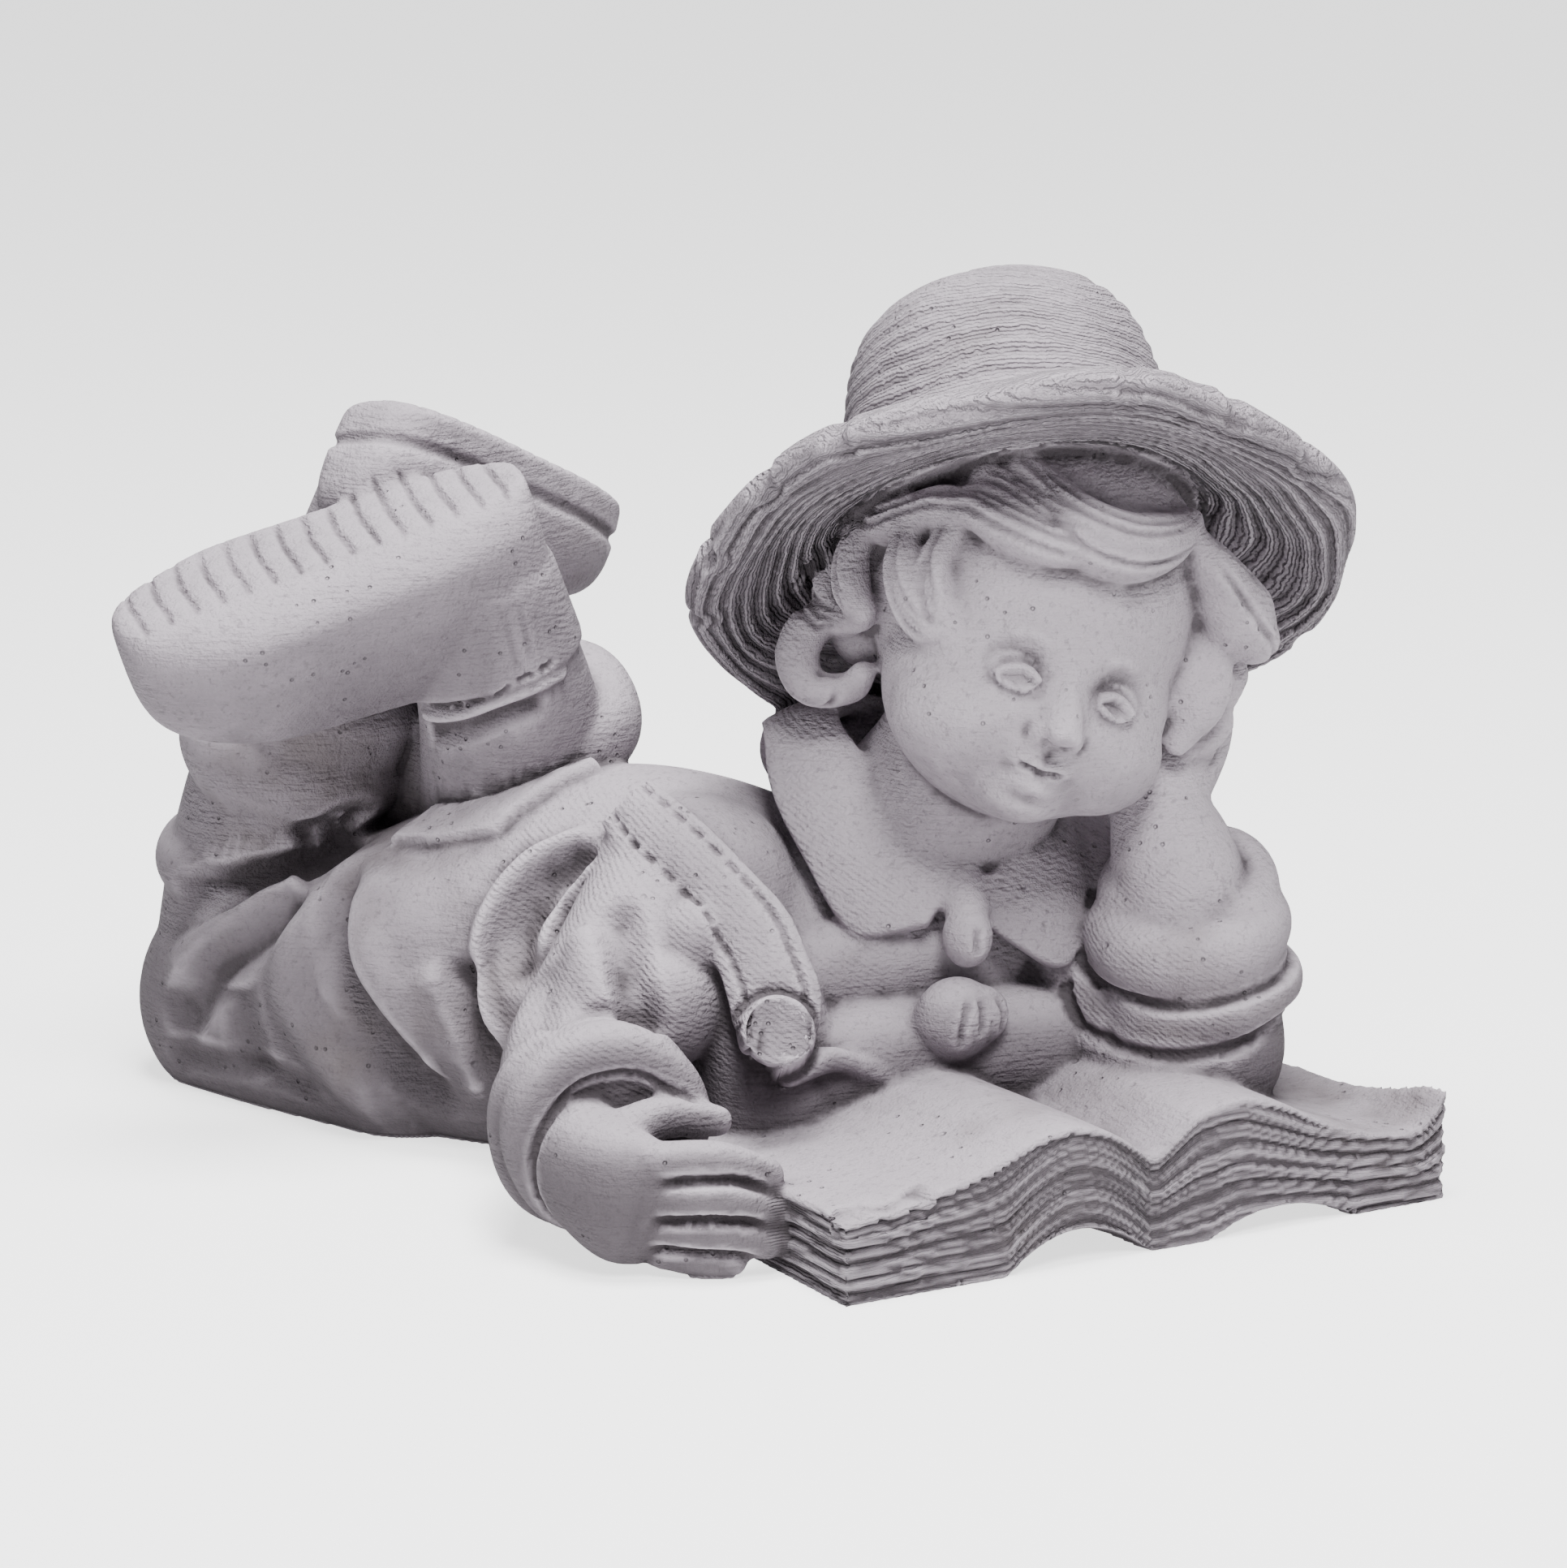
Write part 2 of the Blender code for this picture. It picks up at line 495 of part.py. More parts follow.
def keep_largest(co, faces):
    """Drops what the joining leaves sealed inside."""
    parent = np.arange(len(co))
    edges = edges_of(faces)
    while True:
        before = parent.copy()
        low = np.minimum(parent[edges[:, 0]], parent[edges[:, 1]])
        np.minimum.at(parent, edges[:, 0], low)
        np.minimum.at(parent, edges[:, 1], low)
        parent = parent[parent]
        if (parent == before).all():
            break
    names, counts = np.unique(parent, return_counts=True)
    kept = parent == names[counts.argmax()]
    index = np.cumsum(kept) - 1
    return co[kept], index[faces[kept[faces[:, 0]]]]


def rebuild(obj, co, faces):
    mesh = bpy.data.meshes.new(obj.name)
    mesh.from_pydata(co.tolist(), [], faces.tolist())
    mesh.update()
    old = obj.data
    obj.data = mesh
    bpy.data.meshes.remove(old)


# Carving: the skin's points are pushed in and out along strokes

class Skin:
    def __init__(self, co, faces):
        self.co = co
        self.faces = faces
        self.edges = edges_of(faces)
        self.ends = np.bincount(self.edges.ravel(), minlength=len(co))[:, None]
        self.measure()

    def around(self, values):
        """The mean of each point's neighbours."""
        a, b = self.edges.T
        columns = [
            np.bincount(a, values[b, k], len(values)) + np.bincount(b, values[a, k], len(values))
            for k in range(3)
        ]
        return np.array(columns).T / self.ends

    def relax(self, rounds, where=None):
        """Moves points towards the middle of their neighbours, which rounds the joints between forms."""
        for _ in range(rounds):
            step = 0.5 * (self.around(self.co) - self.co)
            self.co = self.co + (step if where is None else step * where[:, None])

    def measure(self):
        """Finds the outward direction at each point, evened out, and a tree for finding the nearest face."""
        p = self.co[self.faces]
        across = np.cross(p[:, 2] - p[:, 0], p[:, 3] - p[:, 1])
        out = np.zeros_like(self.co)
        for k in range(4):
            for axis in range(3):
                out[:, axis] += np.bincount(self.faces[:, k], across[:, axis], len(out))
        out = unit(out)
        for _ in range(NORMAL_ROUNDS):
            out = unit(out + self.around(out))
        self.out = out
        self.tree = BVHTree.FromPolygons(self.co.tolist(), self.faces.tolist())

    def laid(self, points, spacing=2.0):
        """Points of a smooth line through the given ones, each moved onto the skin."""
        points = np.array(points, float)
        length = np.linalg.norm(np.diff(points, axis=0), axis=1).sum() if len(points) > 1 else 0
        if len(points) > 1:
            points = spline(points, np.linspace(0, 1, max(int(length / spacing), 2)))
        return np.array([self.tree.find_nearest(Vector(p))[0] for p in points])

    def near(self, line, reach):
        """Points near a line: their numbers, distances, and shares along it."""
        low, high = line.min(axis=0) - reach, line.max(axis=0) + reach
        picked = np.flatnonzero(((self.co > low) & (self.co < high)).all(axis=1))
        best = np.full(len(picked), 1e9)
        share = np.zeros(len(picked))
        p = self.co[picked]
        for k in range(max(len(line) - 1, 1)):
            a, b = line[k], line[min(k + 1, len(line) - 1)]
            way = b - a
            t = np.clip((p - a) @ way / max(way @ way, 1e-9), 0, 1)
            d = np.linalg.norm(p - a - t[:, None] * way, axis=1)
            closer = d < best
            best[closer] = d[closer]
            share[closer] = (k + t[closer]) / max(len(line) - 1, 1)
        kept = best < reach
        return picked[kept], best[kept], share[kept]

    def push(self, picked, amount):
        self.co[picked] += self.out[picked] * amount[:, None]

    def fold(self, points, half_width, height, fade=0.15):
        """A rounded ridge, or a groove where the height is below zero, that fades out at its ends."""
        picked, d, share = self.near(self.laid(points), half_width)
        ends = smooth_step(np.minimum(share, 1 - share) / fade) if fade else 1.0
        self.push(picked, height * (1 - (d / half_width) ** 2) ** 2 * ends)

    def patch(self, corners, height, edge=1.5):
        """A flat raised piece with straight sides, such as a flap. Its corners go round it in order."""
        corners = np.array(corners, float)
        middle = corners.mean(axis=0)
        out = unit(np.cross(corners[1] - corners[0], corners[2] - corners[1]))
        local = self.co - middle
        picked = np.flatnonzero((np.abs(local @ out) < 25) & (self.out @ out > 0.3))
        inside = np.full(len(picked), 1e9)
        for a, b in zip(corners, np.roll(corners, -1, axis=0)):
            inward = unit(np.cross(out, b - a))
            inside = np.minimum(inside, (self.co[picked] - a) @ inward)
        self.push(picked, height * smooth_step((inside + edge) / (2 * edge)))

    def stitches(self, points, pitch, half_length, depth):
        """A row of short dents, each lying along the line."""
        line = self.laid(points, pitch / 2)
        for a, b in zip(line[:-1:2], line[1::2]):
            middle, way = (a + b) / 2, unit(b - a)
            dent = np.array([middle - way * half_length, middle + way * half_length])
            picked, d, _ = self.near(dent, STITCH_WIDTH)
            self.push(picked, -depth * (1 - (d / STITCH_WIDTH) ** 2))


STITCH_WIDTH = 1.5

# Folds of cloth: points on the body, half width, and height, or depth below zero
TROUSER_FOLDS = (
    ([(-47, 236, 66), (-45, 215, 73), (-38, 204, 76), (-28, 196, 79), (-16, 188, 84), (-6, 185, 90)], 8, -6),
    ([(-46, 236, 30), (-44, 220, 53), (-40, 207, 64), (-31, 195, 74), (-26, 190, 77)], 12, 5),
    ([(-46, 238, 20), (-47, 225, 33), (-46, 214, 45), (-43, 198, 58), (-37, 188, 69),
      (-30, 185, 75)], 10, -5),
    ([(-24, 149, 92), (-29, 167, 82), (-37, 175, 71), (-43, 178, 59), (-46, 175, 45), (-46, 163, 31),
      (-40, 147, 18), (-28, 132, 6)], 11, 4),
    ([(-28, 155, 88), (-35, 161, 79), (-41, 159, 69), (-45, 153, 56), (-45, 143, 45), (-40, 134, 34),
      (-33, 126, 21), (-28, 118, 8)], 10, -6),
    ([(-24, 148, 90), (-36, 150, 77), (-43, 142, 62), (-42, 131, 50), (-38, 122, 38),
      (-33, 114, 24)], 10, 4),
    ([(-47, 204, 44), (-47, 200, 30), (-44, 194, 12)], 12, -3),
    ([(-39, 122, 66), (-36, 114, 50), (-33, 108, 36), (-29, 102, 18)], 9, 3),
    ([(-34, 112, 70), (-33, 106, 52), (-30, 100, 38), (-28, 96, 20)], 9, -4),
    ([(-45, 244, 12), (-45, 217, 15), (-45, 189, 16), (-43, 164, 14)], 7, -2.5),
    ([(-28, 196, 86), (-21, 190, 92), (-15, 183, 96), (-6, 185, 92)], 9, -4),
)
SLEEVE_FOLDS = (
    ([(3, 84, 108), (-4, 91, 102), (-11, 99, 96), (-19, 104, 87), (-27, 106, 74), (-30, 103, 62),
      (-31, 95, 50),
      (-31, 86, 40)], 5, 4.5),
    ([(0, 80, 102), (-9, 88, 94), (-18, 92, 84), (-24, 92, 72), (-28, 84, 58)], 9, -5),
    ([(-3, 76, 100), (-11, 82, 90), (-19, 83, 80), (-25, 79, 70)], 4, 3.5),
    ([(-22, 54, 93), (-28, 44, 86), (-33, 34, 77), (-36, 24, 67), (-36, 15, 58)], 8, -5),
    ([(-28, 54, 90), (-37, 42, 80), (-43, 32, 71), (-46, 22, 63)], 7, 3),
    ([(-36, 17, 64), (-47, 21, 70), (-58, 27, 71), (-70, 33, 64)], 7, -4),
    ([(-40, 62, 74), (-48, 52, 66), (-58, 44, 58), (-70, 40, 46)], 9, -2.5),
)


def carve_cloth(skin):
    for points, half_width, height in TROUSER_FOLDS + SLEEVE_FOLDS:
        skin.fold(points, half_width, height)


def circle(centre, axis, radius):
    side = unit(np.cross(axis, (0.3, 0.1, 1.0) if abs(unit(axis)[2]) < 0.9 else (1.0, 0.2, 0.0)))
    other = np.cross(unit(axis), side)
    turn = np.linspace(0, 2 * math.pi, 25)
    return np.array(centre) + radius * (np.cos(turn)[:, None] * side + np.sin(turn)[:, None] * other)


def carve_arms(skin):
    for line in FINGER_GAPS:
        skin.fold(line, 3.2, -3.0, 0.25)
    for centre, axis, radius, half_width, depth in CUFF_CREASES:
        skin.fold(circle(centre, axis, radius), half_width, -depth, 0)


FLAP = [(-21, 154, 92), (-10, 117, 100), (25, 107, 118), (44, 150, 118)]
FLAP_HEIGHT = 4.0


def carve_flap(skin):
    skin.patch(FLAP, FLAP_HEIGHT)


def carve_strap(skin):
    outer, inner = np.array(STRAP_OUTER, float), np.array(STRAP_INNER, float)
    lift = np.array((-3, -3, 2.5))
    for share in (0.14, 0.86):
        skin.stitches(outer + share * (inner - outer) + lift, 9.0, 1.6, 1.0)


# Carving of the book: lines of page edges on its front and left sides

PAGE_LINES = 6
PAGE_LINE_DEPTH = 2.2


def carve_pages(skin):
    local = skin.co - BOOK_CORNER
    across, back, rise = local @ BOOK_ACROSS, local @ BOOK_BACK, skin.co[:, 2]
    low, high = page_floor(across, back), page_top(across, back)
    level = (rise - low) / (high - low)
    front = (np.abs(back) < 3.5) & (skin.out @ BOOK_BACK < -0.4)
    left = (np.abs(across) < 3.5) & (skin.out @ BOOK_ACROSS < -0.4)
    right = (np.abs(across - BOOK_WIDTH) < 3.5) & (skin.out @ BOOK_ACROSS > 0.4)
    edge = (front | left | right) & (back < BOOK_DEPTH - 8)
    picked = np.flatnonzero(edge & (level > 0.04) & (level < 0.93))
    run = (across + back)[picked]
    wave = level[picked] * PAGE_LINES + 0.3 * np.sin(run / 17.0) + 0.18 * np.sin(run / 7.3 + 1)
    coarse = (0.5 + 0.5 * np.cos(2 * math.pi * wave)) ** 3
    fine = (0.5 + 0.5 * np.cos(2 * math.pi * (2.3 * wave + 0.3 * np.sin(run / 11.0)))) ** 2
    skin.push(picked, -PAGE_LINE_DEPTH * (coarse + 0.35 * fine))


# Carving of the soles, the hat and the hair

SOLE_GROOVES = 15
SOLE_GROOVE_DEPTH = 1.8


def carve_sole(skin, heel, toe_way, sole_up, length):
    toe_way, sole_up = unit(toe_way), unit(sole_up)
    local = skin.co - np.array(heel, float)
    along, high = local @ toe_way / length, local @ sole_up
    side = local @ np.cross(sole_up, toe_way)
    on_sole = (np.abs(high + 4) < 8) & (skin.out @ sole_up > 0.6) & (along > 0.05) & (along < 0.95)
    picked = np.flatnonzero(on_sole & (np.abs(side) < 30))
    wave = np.cos(2 * math.pi * along[picked] * (SOLE_GROOVES + 1))
    inner = smooth_step((9 - side[picked]) / 5) * smooth_step((side[picked] + 24) / 3)
    skin.push(picked, -SOLE_GROOVE_DEPTH * np.clip(wave, 0, 1) ** 3 * inner)


WELT_DEPTH = 1.8


def carve_welt(skin, heel, toe_way, sole_up, length, below):
    """A groove round the shoe's side, below the sole's edge."""
    toe_way, sole_up = unit(toe_way), unit(sole_up)
    local = skin.co - np.array(heel, float)
    along, high = local @ toe_way / length, local @ sole_up
    side = local @ np.cross(sole_up, toe_way)
    picked = np.flatnonzero((np.abs(high + below) < 4) & (np.abs(side) < 36) & (np.abs(along - 0.5) < 0.56))
    skin.push(picked, -WELT_DEPTH * (1 - ((high[picked] + below) / 4) ** 2))


STRAW_PITCH = 10.0
STRAW_DEPTH = 1.3
# Chips broken out of the rim: turn in degrees, half width in degrees, depth
CHIPS = ((12, 1.8, 4.5), (25, 1.6, 4.0), (33, 3.0, 2.5), (52, 2.2, 3.5), (-38, 2.0, 3.0), (-57, 3.0, 3.5),
         (-78, 2.2, 3.5), (-96, 1.6, 3.0), (118, 2.4, 3.0), (170, 3.0, 2.5), (-140, 2.4, 3.0))


def carve_straw(skin):
    local = skin.co - HAT_CENTRE
    height = local @ HAT_AXIS
    front, left = local @ HAT_FRONT, local @ np.cross(HAT_AXIS, HAT_FRONT)
    radius, turn = np.hypot(front, left), np.arctan2(left, front)
    middle = np.interp(radius, (56, 68, 82, 94, 104), (16, 11, 5, -1.5, -5))
    middle += np.clip((radius - 56) / 46, 0, 1) * brim_wave(turn)
    crown = (height > 24) & (radius < 64)
    brim = (radius > 55) & (radius < 112) & (np.abs(height - middle) < 10)
    picked = np.flatnonzero(crown | brim)
    r, h, t = radius[picked], height[picked], turn[picked]
    run = np.where(crown[picked], h - r, r)
    wave = run + 1.6 * np.sin(2 * t + 1) + 1.0 * np.sin(5 * t) + 0.5 * np.sin(11 * t + 2)
    under = skin.out[picked] @ HAT_AXIS < 0
    depth = STRAW_DEPTH * np.where(under, 1.5, 1.0)
    skin.push(picked, -depth * np.abs(np.cos(math.pi * wave / STRAW_PITCH)) ** 3)
    for place, half, deep in CHIPS:
        off = (np.degrees(turn) - place + 180) % 360 - 180
        picked = np.flatnonzero((np.abs(off) < half) & (radius > 88) & brim)
        inward = (1 - (off[picked] / half) ** 2) * smooth_step((radius[picked] - 90) / 10) * deep
        way = np.cos(turn[picked])[:, None] * HAT_FRONT
        way = way + np.sin(turn[picked])[:, None] * np.cross(HAT_AXIS, HAT_FRONT)
        skin.co[picked] -= way * inward[:, None]


def carve_hair(skin):
    for path, sizes in LOCKS:
        wide = max(b for b, _ in sizes)
        path = np.array(path, float)
        for share in (-0.45, 0.1, 0.6):
            line = [on_head(*(p * (1.12 + 0.0 * share) + np.array((0, 0, share * wide)))) for p in path]
            skin.fold(line, 2.4, -1.6, 0.3)


# Carving of the face, in the head's axes: a calm child's face of plain proportions

def bump(x, z, place, size):
    return np.exp(-((x - place[0]) / size[0]) ** 2 - ((z - place[1]) / size[1]) ** 2)


def carve_face(skin):
    local = skin.co - HEAD_CENTRE
    x, y, z = local @ HEAD_ACROSS, local @ HEAD_BACK, local @ HEAD_UP
    front = (y < -20) & (z < 26) & (z > -56) & (np.abs(x) < 42)
    picked = np.flatnonzero(front & (skin.out @ HEAD_BACK < -0.1))
    x, z = x[picked], z[picked]
    side = np.abs(x)
    out = -4.5 * bump(side, z, (17, -5), (10, 6.5))
    out += 3.6 * bump(side, z, (17, -7.5), (7.5, 4.2))
    out += 1.2 * bump(side, z, (17, 5), (11, 3.5))
    out += 3.2 * bump(side, z, (5.5, -22), (3.2, 3.0))
    out += 2.6 * bump(x, z, (0, -34), (9.5, 2.6)) + 2.8 * bump(x, z, (0, -39.5), (7.5, 2.6))
    out -= 1.8 * bump(x, z, (0, -36.7), (11, 1.3))
    out -= 1.4 * bump(side, z, (12.5, -36.5), (2.5, 2.5))
    out -= 1.2 * bump(x, z, (0, -29.5), (2.2, 2.5))
    out -= 1.5 * bump(x, z, (0, -44.5), (9, 2.2))
    skin.co[picked] -= out[:, None] * HEAD_BACK


def is_closed(mesh):
    shape = bmesh.new()
    shape.from_mesh(mesh)
    closed = all(e.is_manifold for e in shape.edges) and all(v.is_manifold for v in shape.verts)
    shape.free()
    return closed


def thin_out(obj, triangles):
    """Reduces the skin to about this many triangles. Where that would pinch it to an edge that four
    faces share, a slightly smaller number is tried."""
    thin = obj.modifiers.new("Thin", "DECIMATE")
    full = 2 * len(obj.data.polygons)
    for attempt in range(12):
        thin.ratio = triangles * (1 - 0.004 * attempt) / full
        graph = bpy.context.evaluated_depsgraph_get()
        mesh = bpy.data.meshes.new_from_object(obj.evaluated_get(graph))
        if is_closed(mesh):
            break
    obj.modifiers.clear()
    obj.data = mesh


def build():
    for old in list(bpy.data.objects):
        bpy.data.objects.remove(old)
    book()
    torso()
    legs()
    shoes()
    arms()
    head()
    hat()
    collar()
    strap()
    scarf()
    obj = join_forms(SKIN_CELL)
    skin = Skin(*keep_largest(vertices_of(obj.data), faces_of(obj.data)))
    skin.relax(3)
    skin.measure()
    carve_face(skin)
    carve_hair(skin)
    carve_arms(skin)
    carve_cloth(skin)
    carve_flap(skin)
    carve_strap(skin)
    carve_pages(skin)
    carve_sole(skin, LEFT_HEEL, LEFT_TOE_WAY, LEFT_SOLE_UP, LEFT_SHOE_LENGTH)
    carve_sole(skin, RIGHT_HEEL, RIGHT_TOE_WAY, RIGHT_SOLE_UP, RIGHT_SHOE_LENGTH)
    carve_welt(skin, RIGHT_HEEL, RIGHT_TOE_WAY, RIGHT_SOLE_UP, RIGHT_SHOE_LENGTH, 14)
    carve_straw(skin)
    skin.co[skin.co[:, 2] < FLAT_BAND, 2] = 0
    rebuild(obj, skin.co * UNIT, skin.faces)
    thin_out(obj, SKIN_TRIANGLES)
    co = vertices_of(obj.data)
    co[co[:, 2] < FLAT_BAND * UNIT / 2, 2] = 0
    put_vertices(obj, co)
    stone = bpy.data.materials.new("cast stone")
    stone.use_nodes = True
    finish = stone.node_tree.nodes["Principled BSDF"]
    finish.inputs["Base Color"].default_value = (0.38, 0.36, 0.38, 1)
    finish.inputs["Roughness"].default_value = 0.9
    finish.inputs["Metallic"].default_value = 0
    obj.data.materials.append(stone)
    return obj


build()
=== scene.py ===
import json
import math

import bpy
import numpy as np
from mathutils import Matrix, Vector
from mathutils.bvhtree import BVHTree
from mathutils.kdtree import KDTree

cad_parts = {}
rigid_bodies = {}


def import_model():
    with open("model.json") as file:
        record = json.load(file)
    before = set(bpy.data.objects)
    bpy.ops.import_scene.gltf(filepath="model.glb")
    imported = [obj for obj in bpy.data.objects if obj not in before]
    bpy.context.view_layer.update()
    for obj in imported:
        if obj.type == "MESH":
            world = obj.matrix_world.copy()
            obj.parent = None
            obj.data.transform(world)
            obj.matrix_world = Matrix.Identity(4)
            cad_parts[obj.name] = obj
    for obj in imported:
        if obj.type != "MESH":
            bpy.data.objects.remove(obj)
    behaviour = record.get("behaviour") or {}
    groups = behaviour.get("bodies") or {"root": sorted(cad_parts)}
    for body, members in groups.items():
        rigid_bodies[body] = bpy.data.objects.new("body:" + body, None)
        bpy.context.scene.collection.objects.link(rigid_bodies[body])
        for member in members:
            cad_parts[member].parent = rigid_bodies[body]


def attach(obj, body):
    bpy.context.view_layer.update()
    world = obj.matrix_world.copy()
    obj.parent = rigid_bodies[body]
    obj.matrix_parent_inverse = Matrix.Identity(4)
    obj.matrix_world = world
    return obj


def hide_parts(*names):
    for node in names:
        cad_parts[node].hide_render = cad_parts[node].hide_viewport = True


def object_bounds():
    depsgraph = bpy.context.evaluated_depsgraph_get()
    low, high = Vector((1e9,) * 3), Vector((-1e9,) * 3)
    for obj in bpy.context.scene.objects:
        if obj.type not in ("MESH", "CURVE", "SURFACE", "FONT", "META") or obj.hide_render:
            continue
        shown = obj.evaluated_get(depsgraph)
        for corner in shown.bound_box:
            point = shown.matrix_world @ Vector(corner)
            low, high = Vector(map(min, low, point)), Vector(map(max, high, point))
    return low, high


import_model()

cadLow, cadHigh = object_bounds()

# The whole figure is laid out in millimetres and scaled to metres at the end.
sculpt = {
    "unit": 0.001,
    "cell": 1.15,  # size of the voxel skin's squares
    "triangles": 190000,
    "relaxRounds": 7,
    "normalRounds": 6,
    "flatBand": 0.9,  # what lies lower than this becomes the flat foot
}


# Small maths helpers

def between(a, b, c, d, t):
    # the smooth curve from b to c, with a and d beyond its ends
    return 0.5 * (2 * b + (c - a) * t + (2 * a - 5 * b + 4 * c - d) * t**2 + (3 * b - a - 3 * c + d) * t**3)


def spline(points, share):
    p = np.array(points, float)
    if p.ndim == 1:
        p = p[:, None]
    p = np.vstack([2 * p[0] - p[1], p, 2 * p[-1] - p[-2]])
    u = np.clip(np.asarray(share, float), 0, 1) * (len(p) - 3)
    i = np.minimum(u.astype(int), len(p) - 4)
    t = (u - i)[:, None]
    return between(p[i], p[i + 1], p[i + 2], p[i + 3], t)


def unit(v):
    v = np.asarray(v, float)
    return v / np.maximum(np.linalg.norm(v, axis=-1, keepdims=True), 1e-9)


def smoothStep(x):
    x = np.clip(x, 0, 1)
    return x * x * (3 - 2 * x)


def power(x, exponent):
    return np.sign(x) * np.abs(x) ** exponent


def verticesOf(mesh):
    co = np.empty(len(mesh.vertices) * 3, np.float32)
    mesh.vertices.foreach_get("co", co)
    return co.reshape(-1, 3).astype(float)


def putVertices(obj, co):
    obj.data.vertices.foreach_set("co", np.asarray(co, np.float32).ravel())
    obj.data.update()


def standOnGround(obj, co):
    co[:, 2] = np.maximum(co[:, 2], 0)
    putVertices(obj, co)
    return obj


# Basic forms that the figure is blocked out from

def ball(name, centre, radii, across=(1, 0, 0), up=(0, 0, 1)):
    bpy.ops.mesh.primitive_uv_sphere_add(segments=40, ring_count=28)
    obj = bpy.context.object
    obj.name = name
    side = unit(across)
    rise = unit(np.asarray(up, float) - np.dot(up, side) * side)
    axes = np.array([side, np.cross(rise, side), rise])
    co = verticesOf(obj.data) * np.array(radii, float) @ axes + np.array(centre, float)
    return standOnGround(obj, co)


def limb(name, centres, radii, up=(0, 0, 1), cap=0.8, square=1.0):
    # a round-ended tube; a radius is one number or (sideways, upwards)
    rings = 20 + 8 * len(centres)
    bpy.ops.mesh.primitive_uv_sphere_add(segments=40, ring_count=rings)
    obj = bpy.context.object
    obj.name = name
    roundCo = verticesOf(obj.data)
    share = np.arccos(np.clip(-roundCo[:, 2], -1, 1)) / math.pi
    turn = np.arctan2(roundCo[:, 1], roundCo[:, 0])
    end = 7.0 / rings
    middle = np.clip((share - end) / (1 - 2 * end), 0, 1)
    intoCap = np.minimum(np.minimum(share, 1 - share) / end, 1) * math.pi / 2
    radius = spline([(r, r) if np.isscalar(r) else r for r in radii], middle)
    place = spline(centres, middle)
    ahead = unit(spline(centres, middle + 0.01) - spline(centres, middle - 0.01))
    side = unit(np.cross(ahead, np.array(up, float)))
    rise = np.cross(side, ahead)
    shrink = np.sin(intoCap)[:, None]
    beyond = np.cos(intoCap) * radius.min(axis=1) * cap * np.where(share < 0.5, -1, 1)
    co = (
        place
        + ahead * beyond[:, None]
        + side * (power(np.cos(turn), square) * radius[:, 0])[:, None] * shrink
        + rise * (power(np.sin(turn), square) * radius[:, 1])[:, None] * shrink
    )
    return standOnGround(obj, co)


def ring(name, centre, axis, radius, thickness, squash=1.0, swell=0.0, swellWay=(1, 0, 0)):
    # swell makes the roll thicker on the side that swellWay points to
    bpy.ops.mesh.primitive_torus_add(
        major_segments=72, minor_segments=22, major_radius=radius, minor_radius=thickness
    )
    obj = bpy.context.object
    obj.name = name
    turn = np.array(Vector(axis).to_track_quat("Z", "Y").to_matrix())
    co = verticesOf(obj.data)
    angle = np.arctan2(co[:, 1], co[:, 0])
    middle = np.array([np.cos(angle), np.sin(angle), 0 * angle]).T * radius
    toward = np.array(swellWay, float) @ turn
    size = 1 + swell * np.cos(angle - math.atan2(toward[1], toward[0])) + 0.05 * np.sin(5 * angle + radius)
    co = (middle + (co - middle) * size[:, None]) * (1, 1, squash)
    return standOnGround(obj, co @ turn.T + np.array(centre, float))


def sheet(name, rows, thickness):
    # a slab that follows a loft through rows of points, as a collar does
    bpy.ops.mesh.primitive_grid_add(x_subdivisions=36, y_subdivisions=64, size=2)
    obj = bpy.context.object
    obj.name = name
    flat = verticesOf(obj.data)
    u, v = (flat[:, 0] + 1) / 2, (flat[:, 1] + 1) / 2
    lines = np.array([spline(row, v) for row in rows])
    p = np.concatenate([2 * lines[:1] - lines[1:2], lines, 2 * lines[-1:] - lines[-2:-1]])
    w = u * (len(rows) - 1)
    i = np.minimum(w.astype(int), len(rows) - 2)
    t = (w - i)[:, None]
    k = np.arange(len(u))
    putVertices(obj, between(p[i, k], p[i + 1, k], p[i + 2, k], p[i + 3, k], t))
    wall = obj.modifiers.new("Wall", "SOLIDIFY")
    wall.thickness = thickness
    wall.offset = 0
    bpy.ops.object.modifier_apply(modifier=wall.name)
    return obj


# The open book, measured across from its left corner, back along the spine, and up

bookSettings = {
    "corner": np.array((-52.0, -77.0, 0.0)),
    "turn": math.radians(-15),
    "width": 216.0,
    "depth": 140.0,
    "tops": ((0, 26), (18, 28), (36, 30.5), (52, 35), (66, 41), (80, 43), (92, 39.5), (101, 34), (108, 28),
             (115, 34), (124, 41), (140, 43.5), (154, 39.5), (170, 31), (187, 25), (203, 23), (216, 25)),
    "curl": 11.0,
    "arches": ((82, 25, 11.0, 45), (155, 26, 7.0, 45)),  # middle, reach, height, depth of each gap under it
    "bundles": 6.0,
    "lineDepth": 1.61,
    "swellDepth": 0.9,
    "lipDepth": 2.2,
    "lipWidth": 34.0,  # the broken lip of the top pages, at the left front corner
}
bookAcross = np.array((math.cos(bookSettings["turn"]), math.sin(bookSettings["turn"]), 0))
bookBack = np.array((-math.sin(bookSettings["turn"]), math.cos(bookSettings["turn"]), 0))


def pageTop(across, back):
    s = bookSettings
    knots = np.array(s["tops"], float)
    grid = np.linspace(0, s["width"], 217)
    tops = np.interp(grid, knots[:, 0], knots[:, 1])
    tops = np.convolve(np.pad(tops, 3, mode="edge"), np.ones(7) / 7, "valid")
    curl = np.clip((across - 0.93 * s["width"]) / (0.07 * s["width"]), 0, 1) ** 2
    curl = s["curl"] * curl * np.exp(-((back / 32.0) ** 2))
    return np.interp(across, grid, tops) + curl - 3.0 * smoothStep(back / s["depth"])


